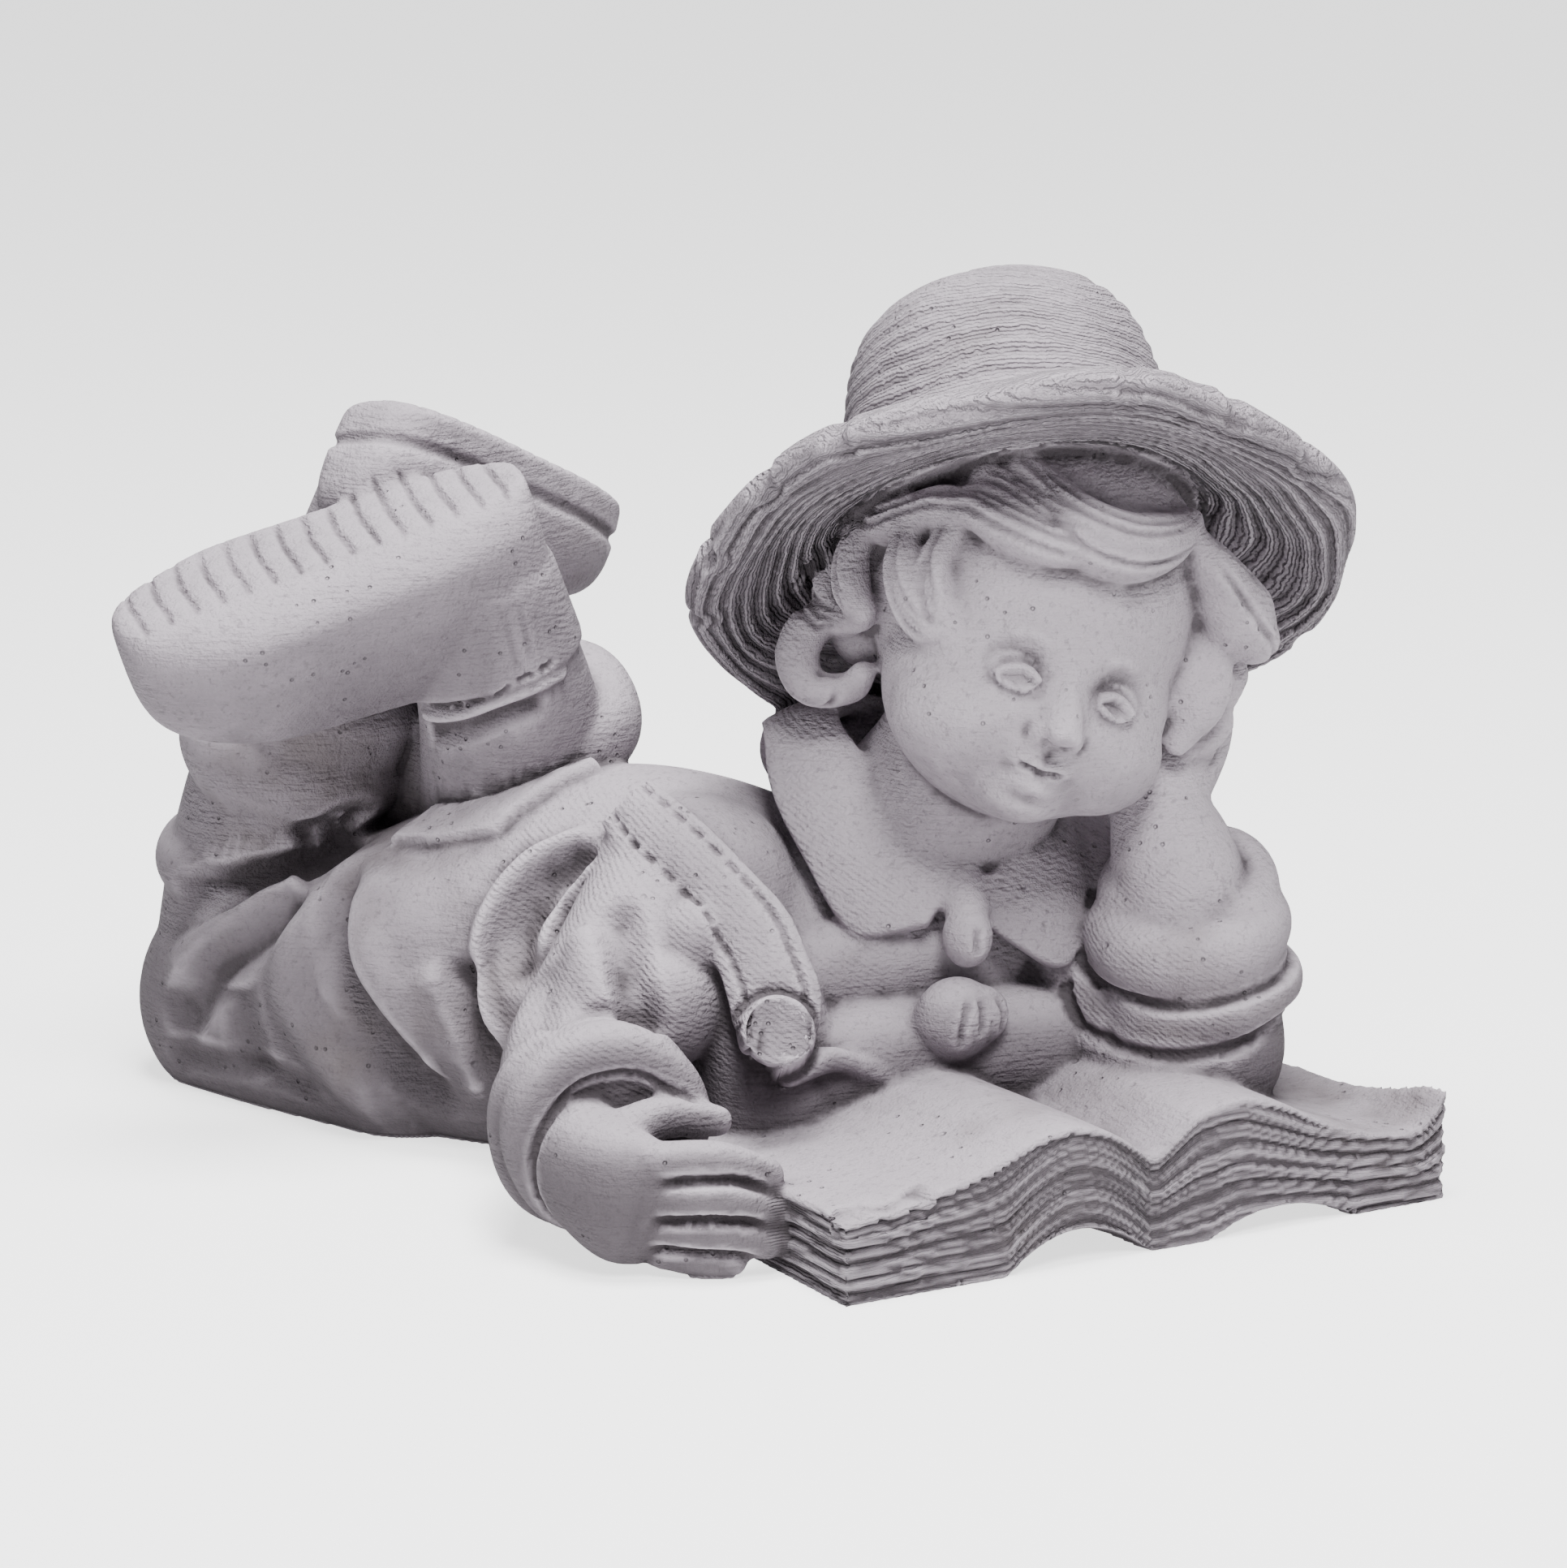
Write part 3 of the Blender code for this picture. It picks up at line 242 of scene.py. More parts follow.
def pageFloor(across, back):
    floor = np.zeros_like(across)
    for middle, reach, height, depth in bookSettings["arches"]:
        bend = np.clip(1 - ((across - middle) / reach) ** 2, 0, 1)
        floor += height * bend * np.clip(1 - back / depth, 0, 1)
    return floor


def addBook():
    s = bookSettings
    bpy.ops.mesh.primitive_cube_add(size=2)
    obj = bpy.context.object
    obj.name = "book form"
    bpy.ops.object.mode_set(mode="EDIT")
    bpy.ops.mesh.subdivide(number_cuts=95)
    bpy.ops.object.mode_set(mode="OBJECT")
    box = verticesOf(obj.data)
    across = (box[:, 0] + 1) / 2 * s["width"]
    back = (box[:, 1] + 1) / 2 * s["depth"]
    rise = (box[:, 2] + 1) / 2
    low, high = pageFloor(across, back), pageTop(across, back)
    co = s["corner"] + across[:, None] * bookAcross + back[:, None] * bookBack
    co[:, 2] = low + (high - low) * rise
    putVertices(obj, co)


# The body

def addTorso():
    limb(
        "torso form",
        [(66, 38, 38), (54, 62, 44), (33, 100, 49), (15, 142, 46), (6, 178, 40)],
        [(52, 46), (62, 64), (58, 70), (56, 60), (54, 50)],
        cap=0.7,
    )
    ball("right shoulder form", (22, 62, 82), (36, 36, 36))
    ball("left shoulder form", (122, 34, 78), (36, 38, 36))
    ball("right side form", (-6, 92, 46), (26, 34, 40))
    limb("right chest form", [(24, 72, 94), (19, 54, 82), (15, 36, 70), (11, 21, 54), (9, 14, 30)],
         [22, 22, 22, 21, 21], up=(1, 0, 0))
    limb("breast form", [(12, 16, 36), (40, 4, 40), (70, -6, 40), (96, -20, 40)], [20, 20, 20, 20])
    limb("upper breast form", [(32, 26, 62), (62, 12, 68), (92, 2, 62)], [18, 18, 18])
    ball("strap filling form", (-3, 34, 80), (15, 14, 15))
    ball("right seat form", (0, 148, 50), (46, 48, 49))
    ball("left seat form", (46, 162, 54), (42, 42, 46))


def addLegs():
    limb("right thigh form", [(-2, 160, 38), (-6, 198, 34), (-9, 238, 30)], [(44, 50), (42, 45), (38, 42)],
         square=0.85)
    ball("right knee form", (-9, 240, 26), (38, 37, 40))
    limb("left thigh form", [(50, 165, 38), (55, 202, 36), (58, 236, 30)], [(42, 48), (39, 44), (36, 38)])
    limb("right calf form", [(-8, 238, 40), (-9, 228, 74), (-8, 218, 104), (-6, 203, 136)],
         [34, 34, 33, 32], up=(1, 0, 0), cap=0.3)
    ring("right trouser lower roll form", (-6, 231, 72), (0.05, -0.15, 1), 26, 14, 0.9)
    ring("right trouser upper roll form", (-8, 217, 112), (0.05, -0.3, 1), 24, 15, 1.0)
    limb("right ankle form", [(-6, 206, 130), (0, 196, 166), (6, 186, 200)], [27, 24, 21], up=(1, 0, 0))
    limb("left calf form", [(57, 236, 40), (52, 214, 72), (42, 184, 98), (33, 152, 122)],
         [34, 37, 33, 30], up=(1, 0, 0), cap=0.3)
    ring("left trouser roll form", (34, 146, 128), (-0.35, -0.3, 0.9), 22, 12, 1.1)
    limb("left ankle form", [(32, 156, 100), (20, 144, 130), (4, 135, 160)], [30, 29, 26], up=(1, 0, 0))


# Each shoe is measured from its heel, towards the toe and out of the sole.
shoeSettings = {
    "soleEdge": 5.0,
    "left": {
        "heel": np.array((4.0, 119.0, 215.0)),
        "toeWay": unit((-0.814, 0.492, -0.313)),
        "soleUp": unit((-0.398, -0.078, 0.913)),
        "length": 137.0,
        "stations": [(0, 25, 56), (0.25, 27, 56), (0.5, 28, 52), (0.75, 31, 49), (1, 29, 44)],
        "sag": 9.0,  # how far the near edge of the sole rounds down
        "lean": 0.0,  # how far the heel slopes back, as a share of its height
    },
    "right": {
        "heel": np.array((-5.0, 178.5, 232.0)),
        "toeWay": unit((0.889, 0.027, -0.437)),
        "soleUp": unit((0.424, 0.172, 0.888)),
        "length": 108.0,
        "stations": [(0, 25, 44), (0.25, 25, 44), (0.5, 25, 40), (0.75, 27, 37), (1, 27, 34)],
        "sag": 0.0,
        "lean": 0.3,
    },
    "grooves": 15,
    "grooveDepth": 1.7,
    "weltBelow": 14.0,
    "weltDepth": 1.8,
    "weltHalfWidth": 3.0,
    # the left toe is smoothed round, from this share of the length on
    "toeStart": 0.72,
    "toeFade": 0.2,
    "toeRounds": 60,
    # the top edge of the left shoe, with its row of stitches, and the ankle just below it; each
    # ridge or groove has its half width, its height and the share of it that fades out
    "opening": [(-21, 154, 132), (-17, 143, 134), (-13, 131, 138), (-7, 118, 144), (6, 111, 149),
                (16, 112, 152)],
    "openingRidge": (3.2, 1.8, 0.1),
    "stitchRow": [(-20, 148, 139), (-16, 138, 140), (-12, 128, 144), (-6, 115, 150), (6, 108, 155)],
    "ankleGroove": (6.0, -3.0, 0.1),
    "ankle": [(-19, 152, 126), (-15, 142, 128), (-11, 131, 132), (-5, 118, 138), (8, 112, 143)],
}


def addShoe(name, s):
    edge = shoeSettings["soleEdge"]
    bpy.ops.mesh.primitive_uv_sphere_add(segments=80, ring_count=88)
    obj = bpy.context.object
    obj.name = name + " shoe form"
    roundCo = verticesOf(obj.data)
    share = np.arccos(np.clip(-roundCo[:, 2], -1, 1)) / math.pi
    turn = np.arctan2(roundCo[:, 1], roundCo[:, 0])
    along = 0.5 - 0.5 * power(np.cos(share * math.pi), 0.8)
    knots = np.array(s["stations"], float)
    half = spline(knots[:, 1], along)[:, 0] * np.sin(share * math.pi) ** 0.55
    depth = spline(knots[:, 2], along)[:, 0] * np.sin(share * math.pi) ** 0.35
    side = np.cross(s["soleUp"], s["toeWay"])
    wide = power(np.cos(turn), 0.6)
    high = np.where(np.sin(turn) > 0, edge * power(np.sin(turn), 0.4), power(np.sin(turn), 0.75) * depth)
    high -= edge + s["sag"] * np.clip((wide - 0.25) / 0.75, 0, 1) ** 2 * (np.sin(turn) > -0.2)
    co = s["heel"] + (along * s["length"] + s["lean"] * high * (1 - along))[:, None] * s["toeWay"]
    co = co + (wide * half)[:, None] * side + high[:, None] * s["soleUp"]
    return standOnGround(obj, co)


def addShoes():
    addShoe("left", shoeSettings["left"])
    addShoe("right", shoeSettings["right"])
    limb("left shoe neck form", [(-8, 134, 182), (2, 137, 154)], [(24, 29), (26, 33)],
         up=shoeSettings["left"]["toeWay"], cap=0.1, square=0.9)


armSettings = {
    # creases round the cuffs: centre, axis, radius, half width, depth
    "creases": (
        ((120, -60.5, 70.5), (-0.24, -0.04, 0.97), 33, 3.0, 2.6),
        ((121, -63, 53), (-0.2, -0.02, 0.98), 31, 3.5, 2.6),
        ((-63, 8, 35.5), (-0.45, -0.88, 0.08), 22, 2.5, 1.6),
    ),
    "gapHalfWidth": 2.6,
    "gapDepth": 2.8,
    "fingerGaps": (
        [(-74, -18, 31), (-66, -27, 31), (-56, -35, 31), (-44, -40, 25)],
        [(-76, -18, 20), (-68, -28, 20), (-58, -37, 20), (-46, -43, 15)],
        [(-74, -16, 11), (-68, -25, 11), (-59, -35, 10), (-50, -40, 7)],
    ),
    "rightFingers": {
        "thumb": ([(-66, 0, 40), (-52, -2, 42), (-36, -9, 39)], [7.5, 6.5, 4.8]),
        "first finger": ([(-70, -18, 34), (-58, -30, 35), (-42, -36, 29)], [7.5, 6.8, 5.4]),
        "middle finger": ([(-72, -18, 24), (-60, -33, 25), (-43, -39, 18)], [6.8, 6.2, 5]),
        "ring finger": ([(-72, -16, 15), (-60, -32, 14), (-46, -40, 10)], [6.4, 5.8, 5]),
        "little finger": ([(-68, -17, 8), (-60, -28, 5), (-54, -34, 5)], [6, 5, 4.5]),
    },
}


def addArms():
    limb("right sleeve form", [(8, 60, 80), (-16, 52, 66), (-39, 46, 48), (-53, 33, 38), (-62, 20, 36)],
         [28, 26, 25, 26, 27], up=(0.6, 0.2, 0.8), cap=0.3)
    ball("right sleeve bulge form", (-20, 36, 62), (22, 20, 20))
    ring("right cuff form", (-62, 13, 36), (-0.45, -0.88, 0.08), 25, 7.5, 1.0, 0.2, (0, 0, 1))
    ring("right cuff back form", (-57, 23, 37), (-0.42, -0.9, 0.05), 26, 8)
    limb("right hand form", [(-68, 20, 32), (-73, 8, 29), (-74, -6, 24), (-70, -15, 21)],
         [(16, 17), (17, 19), (15, 21), (11, 19)], up=(0, 0, 1), cap=0.6)
    for name, (centres, radii) in armSettings["rightFingers"].items():
        limb("right " + name + " form", centres, radii)
    limb("left sleeve form", [(128, 20, 80), (126, -26, 58), (118, -58, 42), (118, -60, 60)],
         [(36, 38), 34, 31, 27], up=(1, 0, 0.2), cap=0.3)
    ring("left lower cuff form", (121, -62, 62), (-0.22, -0.02, 0.97), 23, 8.5, 1.05, 0.12, (-0.7, -0.7, 0))
    ring("left upper cuff form", (119, -59, 79), (-0.26, -0.06, 0.96), 23, 9.5, 1.15, 0.15, (-1, 0, 0))
    ring("left cuff rim form", (123, -55, 90), (-0.32, -0.2, 0.93), 22, 6.5, 1.2, 0.25, (0.7, 0.7, 0))
    limb("left forearm form",
         [(119, -57, 66), (120, -54, 88), (120, -50, 102), (122, -44, 114), (128, -40, 124)],
         [21, 21, 19.5, 16, 14.5], up=(-0.7, 0.7, 0), cap=0.7)
    limb("left palm form",
         [(119, -41, 112), (131, -40, 126), (139, -37, 139), (142, -31, 151), (141, -27, 160)],
         [(13, 13), (15, 14), (16, 14), (13, 12), (9, 9)], up=(-0.7, -0.7, 0.2), cap=0.8)


# The head, measured across to the boy's left, back, and up

headCentre = np.array((90.0, -17.0, 170.0))
headTilt = math.radians(20)
headLevel = np.array((0.866, -0.5, 0.0))
headAcross = headLevel * math.cos(headTilt) - np.array((0, 0, 1)) * math.sin(headTilt)
headUp = headLevel * math.sin(headTilt) + np.array((0, 0, 1)) * math.cos(headTilt)
headBack = np.cross(headUp, headAcross)

# Locks of hair: a path on the head, with (half width, half thickness) along it
hairSettings = {
    "grooveHalfWidth": 1.9,
    "grooveDepth": 1.6,
    "locks": (
        ([(-34, -14, 50), (-25, -25, 46), (-18, -35, 41), (-9, -42, 38), (4, -43, 38), (18, -35, 43),
          (30, -20, 50)], [(6, 4), (8, 7), (10, 8), (11, 10), (11, 10), (9, 8), (5, 4)]),
        ([(-46, -14, 28), (-39, -24, 34), (-31, -34, 33), (-19, -43, 32), (-6, -46, 33)],
         [(5, 4), (7, 7), (8, 7), (7, 7), (4, 3)]),
        ([(-38, -17, 42), (-31, -26, 42), (-22, -37, 39), (-12, -44, 36)], [(5, 4), (6, 6), (6, 6), (4, 4)]),
        ([(-38, -23, 33), (-45, -17, 31), (-51, -9, 25), (-55, 0, 19), (-56, 13, 18)],
         [(5, 4), (7, 7), (7, 7), (7, 7), (4, 4)]),
        ([(-50, -10, 20), (-52, -15, 11), (-49, -20, 2), (-43, -27, -4), (-37, -33, -3)],
         [(5, 5), (6, 6), (6, 6), (6, 5), (3, 3)]),
        ([(-42, -20, 24), (-45, -23, 13), (-42, -27, 5), (-37, -32, 0)], [(5, 5), (6, 5), (5, 5), (3, 3)]),
        ([(-57, 8, 16), (-60, 8, 6), (-58, 4, -4), (-53, -1, -9)], [(5, 5), (6, 6), (6, 6), (4, 4)]),
        ([(-57, 28, 6), (-58, 27, -6), (-54, 19, -14), (-52, 2, -11)], [(5, 5), (6, 6), (6, 6), (4, 4)]),
        ([(-52, 24, -12), (-60, 24, -20), (-61, 24, -30), (-55, 20, -38), (-45, 14, -34), (-44, 8, -27)],
         [(6, 6), (7, 7), (7, 8), (6, 8), (5, 6), (4, 4)]),
        ([(31, -24, 45), (40, -22, 39), (49, -18, 32), (57, -18, 26), (64, -19, 21)],
         [(5, 6), (8, 9), (11, 11), (12, 11), (8, 8)]),
        ([(48, -14, 18), (53, -16, 8), (54, -18, -1), (52, -18, -9), (50, -20, -17)],
         [(6, 6), (8, 8), (8, 8), (7, 7), (4, 4)]),
        ([(58, -6, 15), (63, -9, 7), (61, -10, -2), (64, -11, -10), (57, -14, -18)],
         [(5, 5), (7, 6), (6, 6), (6, 5), (3, 3)]),
    ),
}


def onHead(x, y, z):
    return headCentre + x * headAcross + y * headBack + z * headUp


def headBall(name, centre, radii):
    return ball(name, onHead(*centre), radii, headAcross, headUp)


def addHead():
    limb("neck form", [(84, 30, 92), (88, 8, 122), (90, -6, 146)], [36, 32, 32], up=(1, 0, 0))
    headBall("skull form", (0, 6, 8), (49, 52, 54))
    headBall("face form", (0, -12, -15), (45, 40, 40))
    for side in (-1, 1):
        headBall("cheek form", (side * 21, -25, -25), (23, 22, 21))
    headBall("chin form", (0, -32, -41), (17, 15, 12))
    limb("nose form", [onHead(0, -43, 3), onHead(0, -50, -10), onHead(0, -55.5, -19)], [4, 5, 6.2])
    headBall("hair form", (0, 14, 14), (54, 54, 54))
    headBall("fringe form", (-2, -4, 38), (42, 36, 26))
    headBall("nape hair form", (-42, 26, -9), (13, 17, 19))
    headBall("temple hair form", (48, -2, 2), (12, 22, 24))
    for path, sizes in hairSettings["locks"]:
        limb("lock form", [onHead(*p) for p in path], [(b, a) for a, b in sizes], up=headUp, cap=0.8)


# The straw hat, round its own axis

hatSettings = {
    "centre": np.array((94.0, -11.0, 194.0)),
    "axis": unit((0.332, 0.480, 0.819)),
    "front": (-0.6, -0.75, 0.0),
    "profile": ((0, 87), (14, 87), (28, 85), (38, 80), (45, 71), (49, 58), (51.5, 43), (54, 32), (58, 24),
                (68, 18), (82, 12), (94, 6), (101, 1), (104, -5), (101, -10), (92, -9), (80, -2), (66, 5),
                (56, 10), (46, 12), (24, 12), (0, 12)),
    "brimInner": 56,  # where the brim begins, out from the axis, and how wide it is
    "brimWidth": 46,
    "strandPitch": 5.4,
    "strandDepth": 1.7,
    "upperShare": 0.45,  # how deep the strands are on the brim's upper side
    "crownDepth": 0.9,
    # chips in the brim's rim: turn in degrees, half width in degrees, depth
    "chips": ((12, 2.5, 1.6), (25, 4.0, 1.4), (33, 3.0, 2.0), (52, 3.2, 2.4), (-38, 2.6, 2.2),
              (-57, 4.0, 2.8), (-78, 3.2, 2.8), (-96, 2.6, 2.4), (118, 3.4, 2.2), (170, 4.0, 2.0),
              (-140, 3.4, 2.2)),
}
hatAxis = hatSettings["axis"]
hatFront = np.array(hatSettings["front"])
hatFront = unit(hatFront - np.dot(hatFront, hatAxis) * hatAxis)
hatLeft = np.cross(hatAxis, hatFront)


def brimShare(radius):
    return np.clip((radius - hatSettings["brimInner"]) / hatSettings["brimWidth"], 0, 1)


def brimWave(turn):
    # how far the brim's rim bends up or down round the hat
    lift = 4.0 * np.exp(-(((turn + 1.4) / 0.6) ** 2))
    return 10.0 * np.cos(turn) + 2.0 * np.cos(2 * turn + 0.6) + 1.5 * np.sin(5 * turn) + lift


def addHat():
    bpy.ops.mesh.primitive_uv_sphere_add(segments=160, ring_count=130)
    obj = bpy.context.object
    obj.name = "hat form"
    roundCo = verticesOf(obj.data)
    share = np.arccos(np.clip(roundCo[:, 2], -1, 1)) / math.pi
    turn = np.arctan2(roundCo[:, 1], roundCo[:, 0])
    radius, height = spline(hatSettings["profile"], share).T
    brim = brimShare(radius)
    height += brim * brimWave(turn)
    radius = np.maximum(radius, 0) * (1 + 0.012 * np.sin(3 * turn + 1) + brim * 0.012 * np.sin(7 * turn))
    co = (
        hatSettings["centre"]
        + (radius * np.cos(turn))[:, None] * hatFront
        + (radius * np.sin(turn))[:, None] * hatLeft
        + height[:, None] * hatAxis
    )
    putVertices(obj, co)


# Collar, strap and scarf

# A collar wing runs from the nape to the front: its edge at the neck, then its free edge
collarSettings = {
    "thickness": 7.0,
    "right": (
        [(98, 46, 136), (76, 46, 141), (62, 37, 138), (61, 21, 126), (63, 8, 115), (67, -3, 103),
         (71, -10, 96)],
        [(86, 84, 122), (66, 73, 127), (48, 56, 134), (39, 44, 119), (36, 28, 102), (40, 10, 80),
         (55, -8, 82)],
    ),
    "left": (
        [(98, 46, 136), (116, 38, 134), (122, 20, 124), (116, 2, 112), (100, -12, 102), (86, -15, 98),
         (72, -12, 95)],
        [(86, 84, 122), (122, 70, 118), (142, 38, 108), (136, 2, 96), (108, -26, 84), (90, -32, 67),
         (72, -18, 80)],
    ),
}
strapSettings = {
    "outer": [(2, 80, 108), (-3, 66, 101), (-4, 46, 92), (-6, 33, 84), (-8, 20, 75), (-11, 12, 66),
              (-13, 5, 52)],
    "inner": [(14, 72, 121), (11, 46, 113), (11, 24, 101), (12, 10, 91), (11, 2, 81), (9, -7, 68),
              (2, -10, 52)],
    "thickness": 8.0,
    "button": (-9, -6, 60),
    "buttonWay": (-0.55, -0.72, 0.42),
    "buttonSize": (10.5, 10.5, 6.5),
    "buttonFace": 6.2,  # how far the flat face stands out
    "buttonEdge": 12.6,
    "buttonDish": 0.5,
    "buttonGroove": 1.6,  # depth of the groove round the button
    "stitchRows": (0.17, 0.83),  # shares of the strap's width
    "stitchLift": (-3, -3, 2.5),  # from the strap's middle to its face
    "stitchPitch": 6.4,
    "stitchHalfLength": 1.7,
    "stitchHalfWidth": 1.5,
    "stitchDepth": 1.6,
}


def addCollar():
    limb("collar nape form", [(70, 62, 124), (94, 60, 124), (118, 50, 116)], [(16, 14), (18, 16), (16, 14)])
    for side in ("right", "left"):
        neck, free = collarSettings[side]
        middle = (np.array(neck) + np.array(free)) / 2 + np.array((0, 0, 3.0))
        sheet(side + " collar form", [neck, middle, free], collarSettings["thickness"])


def addStrap():
    s = strapSettings
    middle = (np.array(s["outer"]) + np.array(s["inner"])) / 2 + np.array((-1.5, -1.5, 1.0))
    sheet("strap form", [s["outer"], middle, s["inner"]], s["thickness"])
    ball("button form", s["button"], s["buttonSize"], (0.72, -0.55, 0), s["buttonWay"])
    limb("bib edge form", [(-2, -4, 47), (14, -8, 48), (27, -12, 42), (38, -15, 37)], [5.5, 4, 3, 2.5])


def addScarf():
    ball("scarf knot form", (61, -19, 80), (8, 8, 10))
    limb("scarf top form", [(70, -8, 94), (64, -16, 87)], [7, 7])
    ball("scarf tail form", (56, -19, 55), (14, 12, 13))
    ball("scarf tail side form", (63, -24, 56), (8, 8, 9))


# Joining the forms into one skin

def joinForms(cell):
    forms = [o for o in bpy.context.scene.objects if " form" in o.name]
    bpy.ops.object.select_all(action="DESELECT")
    for form in forms:
        form.select_set(True)
    bpy.context.view_layer.objects.active = forms[0]
    bpy.ops.object.join()
    skin = bpy.context.object
    skin.name = "stoneBoy"
    remesh = skin.modifiers.new("Skin", "REMESH")
    remesh.mode = "VOXEL"
    remesh.voxel_size = cell
    bpy.ops.object.modifier_apply(modifier=remesh.name)
    return skin


def facesOf(mesh):
    faces = np.empty(len(mesh.polygons) * 4, np.int32)
    mesh.polygons.foreach_get("vertices", faces)
    return faces.reshape(-1, 4)


def edgesOf(faces):
    edges = np.vstack([faces[:, [0, 1]], faces[:, [1, 2]], faces[:, [2, 3]], faces[:, [3, 0]]])
    return edges[edges[:, 0] < edges[:, 1]]  # two faces share each edge, and name it once each way


def keepLargest(co, faces):
    # drops what the joining leaves sealed inside
    parent = np.arange(len(co))
    edges = edgesOf(faces)
    while True:
        before = parent.copy()
        low = np.minimum(parent[edges[:, 0]], parent[edges[:, 1]])
        np.minimum.at(parent, edges[:, 0], low)
        np.minimum.at(parent, edges[:, 1], low)
        parent = parent[parent]
        if (parent == before).all():
            break
    names, counts = np.unique(parent, return_counts=True)
    kept = parent == names[counts.argmax()]
    index = np.cumsum(kept) - 1
    return co[kept], index[faces[kept[faces[:, 0]]]]


def rebuild(obj, co, faces):
    mesh = bpy.data.meshes.new(obj.name)
    mesh.from_pydata(co.tolist(), [], faces.tolist())
    mesh.update()
    old = obj.data
    obj.data = mesh
    bpy.data.meshes.remove(old)


# Sculpting: points of the skin are pushed in and out along strokes

class Skin:
    def __init__(self, co, faces):
        self.co = co
        self.faces = faces
        self.edges = edgesOf(faces)
        self.ends = np.bincount(self.edges.ravel(), minlength=len(co))[:, None]
        self.measure()

    def around(self, values):
        # the mean of each point's neighbours
        a, b = self.edges.T
        columns = [
            np.bincount(a, values[b, k], len(values)) + np.bincount(b, values[a, k], len(values))
            for k in range(values.shape[1])
        ]
        return np.array(columns).T / self.ends

    def relax(self, rounds, where=None):
        for _ in range(rounds):
            step = 0.5 * (self.around(self.co) - self.co)
            self.co = self.co + (step if where is None else step * where[:, None])

    def measure(self):
        p = self.co[self.faces]
        across = np.cross(p[:, 2] - p[:, 0], p[:, 3] - p[:, 1])
        out = np.zeros_like(self.co)
        for k in range(4):
            for axis in range(3):
                out[:, axis] += np.bincount(self.faces[:, k], across[:, axis], len(out))
        out = unit(out)
        for _ in range(sculpt["normalRounds"]):
            out = unit(out + self.around(out))
        self.out = out
        self.tree = BVHTree.FromPolygons(self.co.tolist(), self.faces.tolist())

    def laid(self, points, spacing=2.0):
        # a smooth line through the points, moved onto the skin
        points = np.array(points, float)
        length = np.linalg.norm(np.diff(points, axis=0), axis=1).sum() if len(points) > 1 else 0
        if len(points) > 1:
            points = spline(points, np.linspace(0, 1, max(int(length / spacing), 2)))
        return np.array([self.tree.find_nearest(Vector(p))[0] for p in points])

    def near(self, line, reach):
        # points near a line: their numbers, distances, and shares along it
        low, high = line.min(axis=0) - reach, line.max(axis=0) + reach
        picked = np.flatnonzero(((self.co > low) & (self.co < high)).all(axis=1))
        best = np.full(len(picked), 1e9)
        share = np.zeros(len(picked))
        p = self.co[picked]
        for k in range(max(len(line) - 1, 1)):
            a, b = line[k], line[min(k + 1, len(line) - 1)]
            way = b - a
            t = np.clip((p - a) @ way / max(way @ way, 1e-9), 0, 1)
            d = np.linalg.norm(p - a - t[:, None] * way, axis=1)
            closer = d < best
            best[closer] = d[closer]
            share[closer] = (k + t[closer]) / max(len(line) - 1, 1)
        kept = best < reach
        return picked[kept], best[kept], share[kept]

    def push(self, picked, amount):
        self.co[picked] += self.out[picked] * amount[:, None]

    def fold(self, points, halfWidth, height, fade=0.15):
        # a rounded ridge, or a groove where the height is below zero
        picked, d, share = self.near(self.laid(points), halfWidth)
        ends = smoothStep(np.minimum(share, 1 - share) / fade) if fade else 1.0
        self.push(picked, height * (1 - (d / halfWidth) ** 2) ** 2 * ends)

    def patch(self, corners, height, edge=1.2):
        # a flat raised piece with straight sides, such as a flap
        corners = np.array(corners, float)
        middle = corners.mean(axis=0)
        out = unit(np.cross(corners[1] - corners[0], corners[2] - corners[1]))
        local = self.co - middle
        picked = np.flatnonzero((np.abs(local @ out) < 25) & (self.out @ out > 0.3))
        inside = np.full(len(picked), 1e9)
        for a, b in zip(corners, np.roll(corners, -1, axis=0)):
            inward = unit(np.cross(out, b - a))
            inside = np.minimum(inside, (self.co[picked] - a) @ inward)
        self.push(picked, height * smoothStep((inside + edge) / (2 * edge)))

    def dent(self, points, reach, depth, steep):
        # a round hollow at a point
        picked, d, _ = self.near(self.laid(points), reach)
        self.push(picked, -depth * (1 - (d / reach) ** steep))

    def stitches(self, points):
        # a row of short dents along a line
        s = strapSettings
        line = self.laid(points, s["stitchPitch"] / 2)
        for a, b in zip(line[:-1:2], line[1::2]):
            middle, way = (a + b) / 2, unit(b - a) * s["stitchHalfLength"]
            picked, d, _ = self.near(np.array([middle - way, middle + way]), s["stitchHalfWidth"])
            self.push(picked, -s["stitchDepth"] * (1 - (d / s["stitchHalfWidth"]) ** 2))


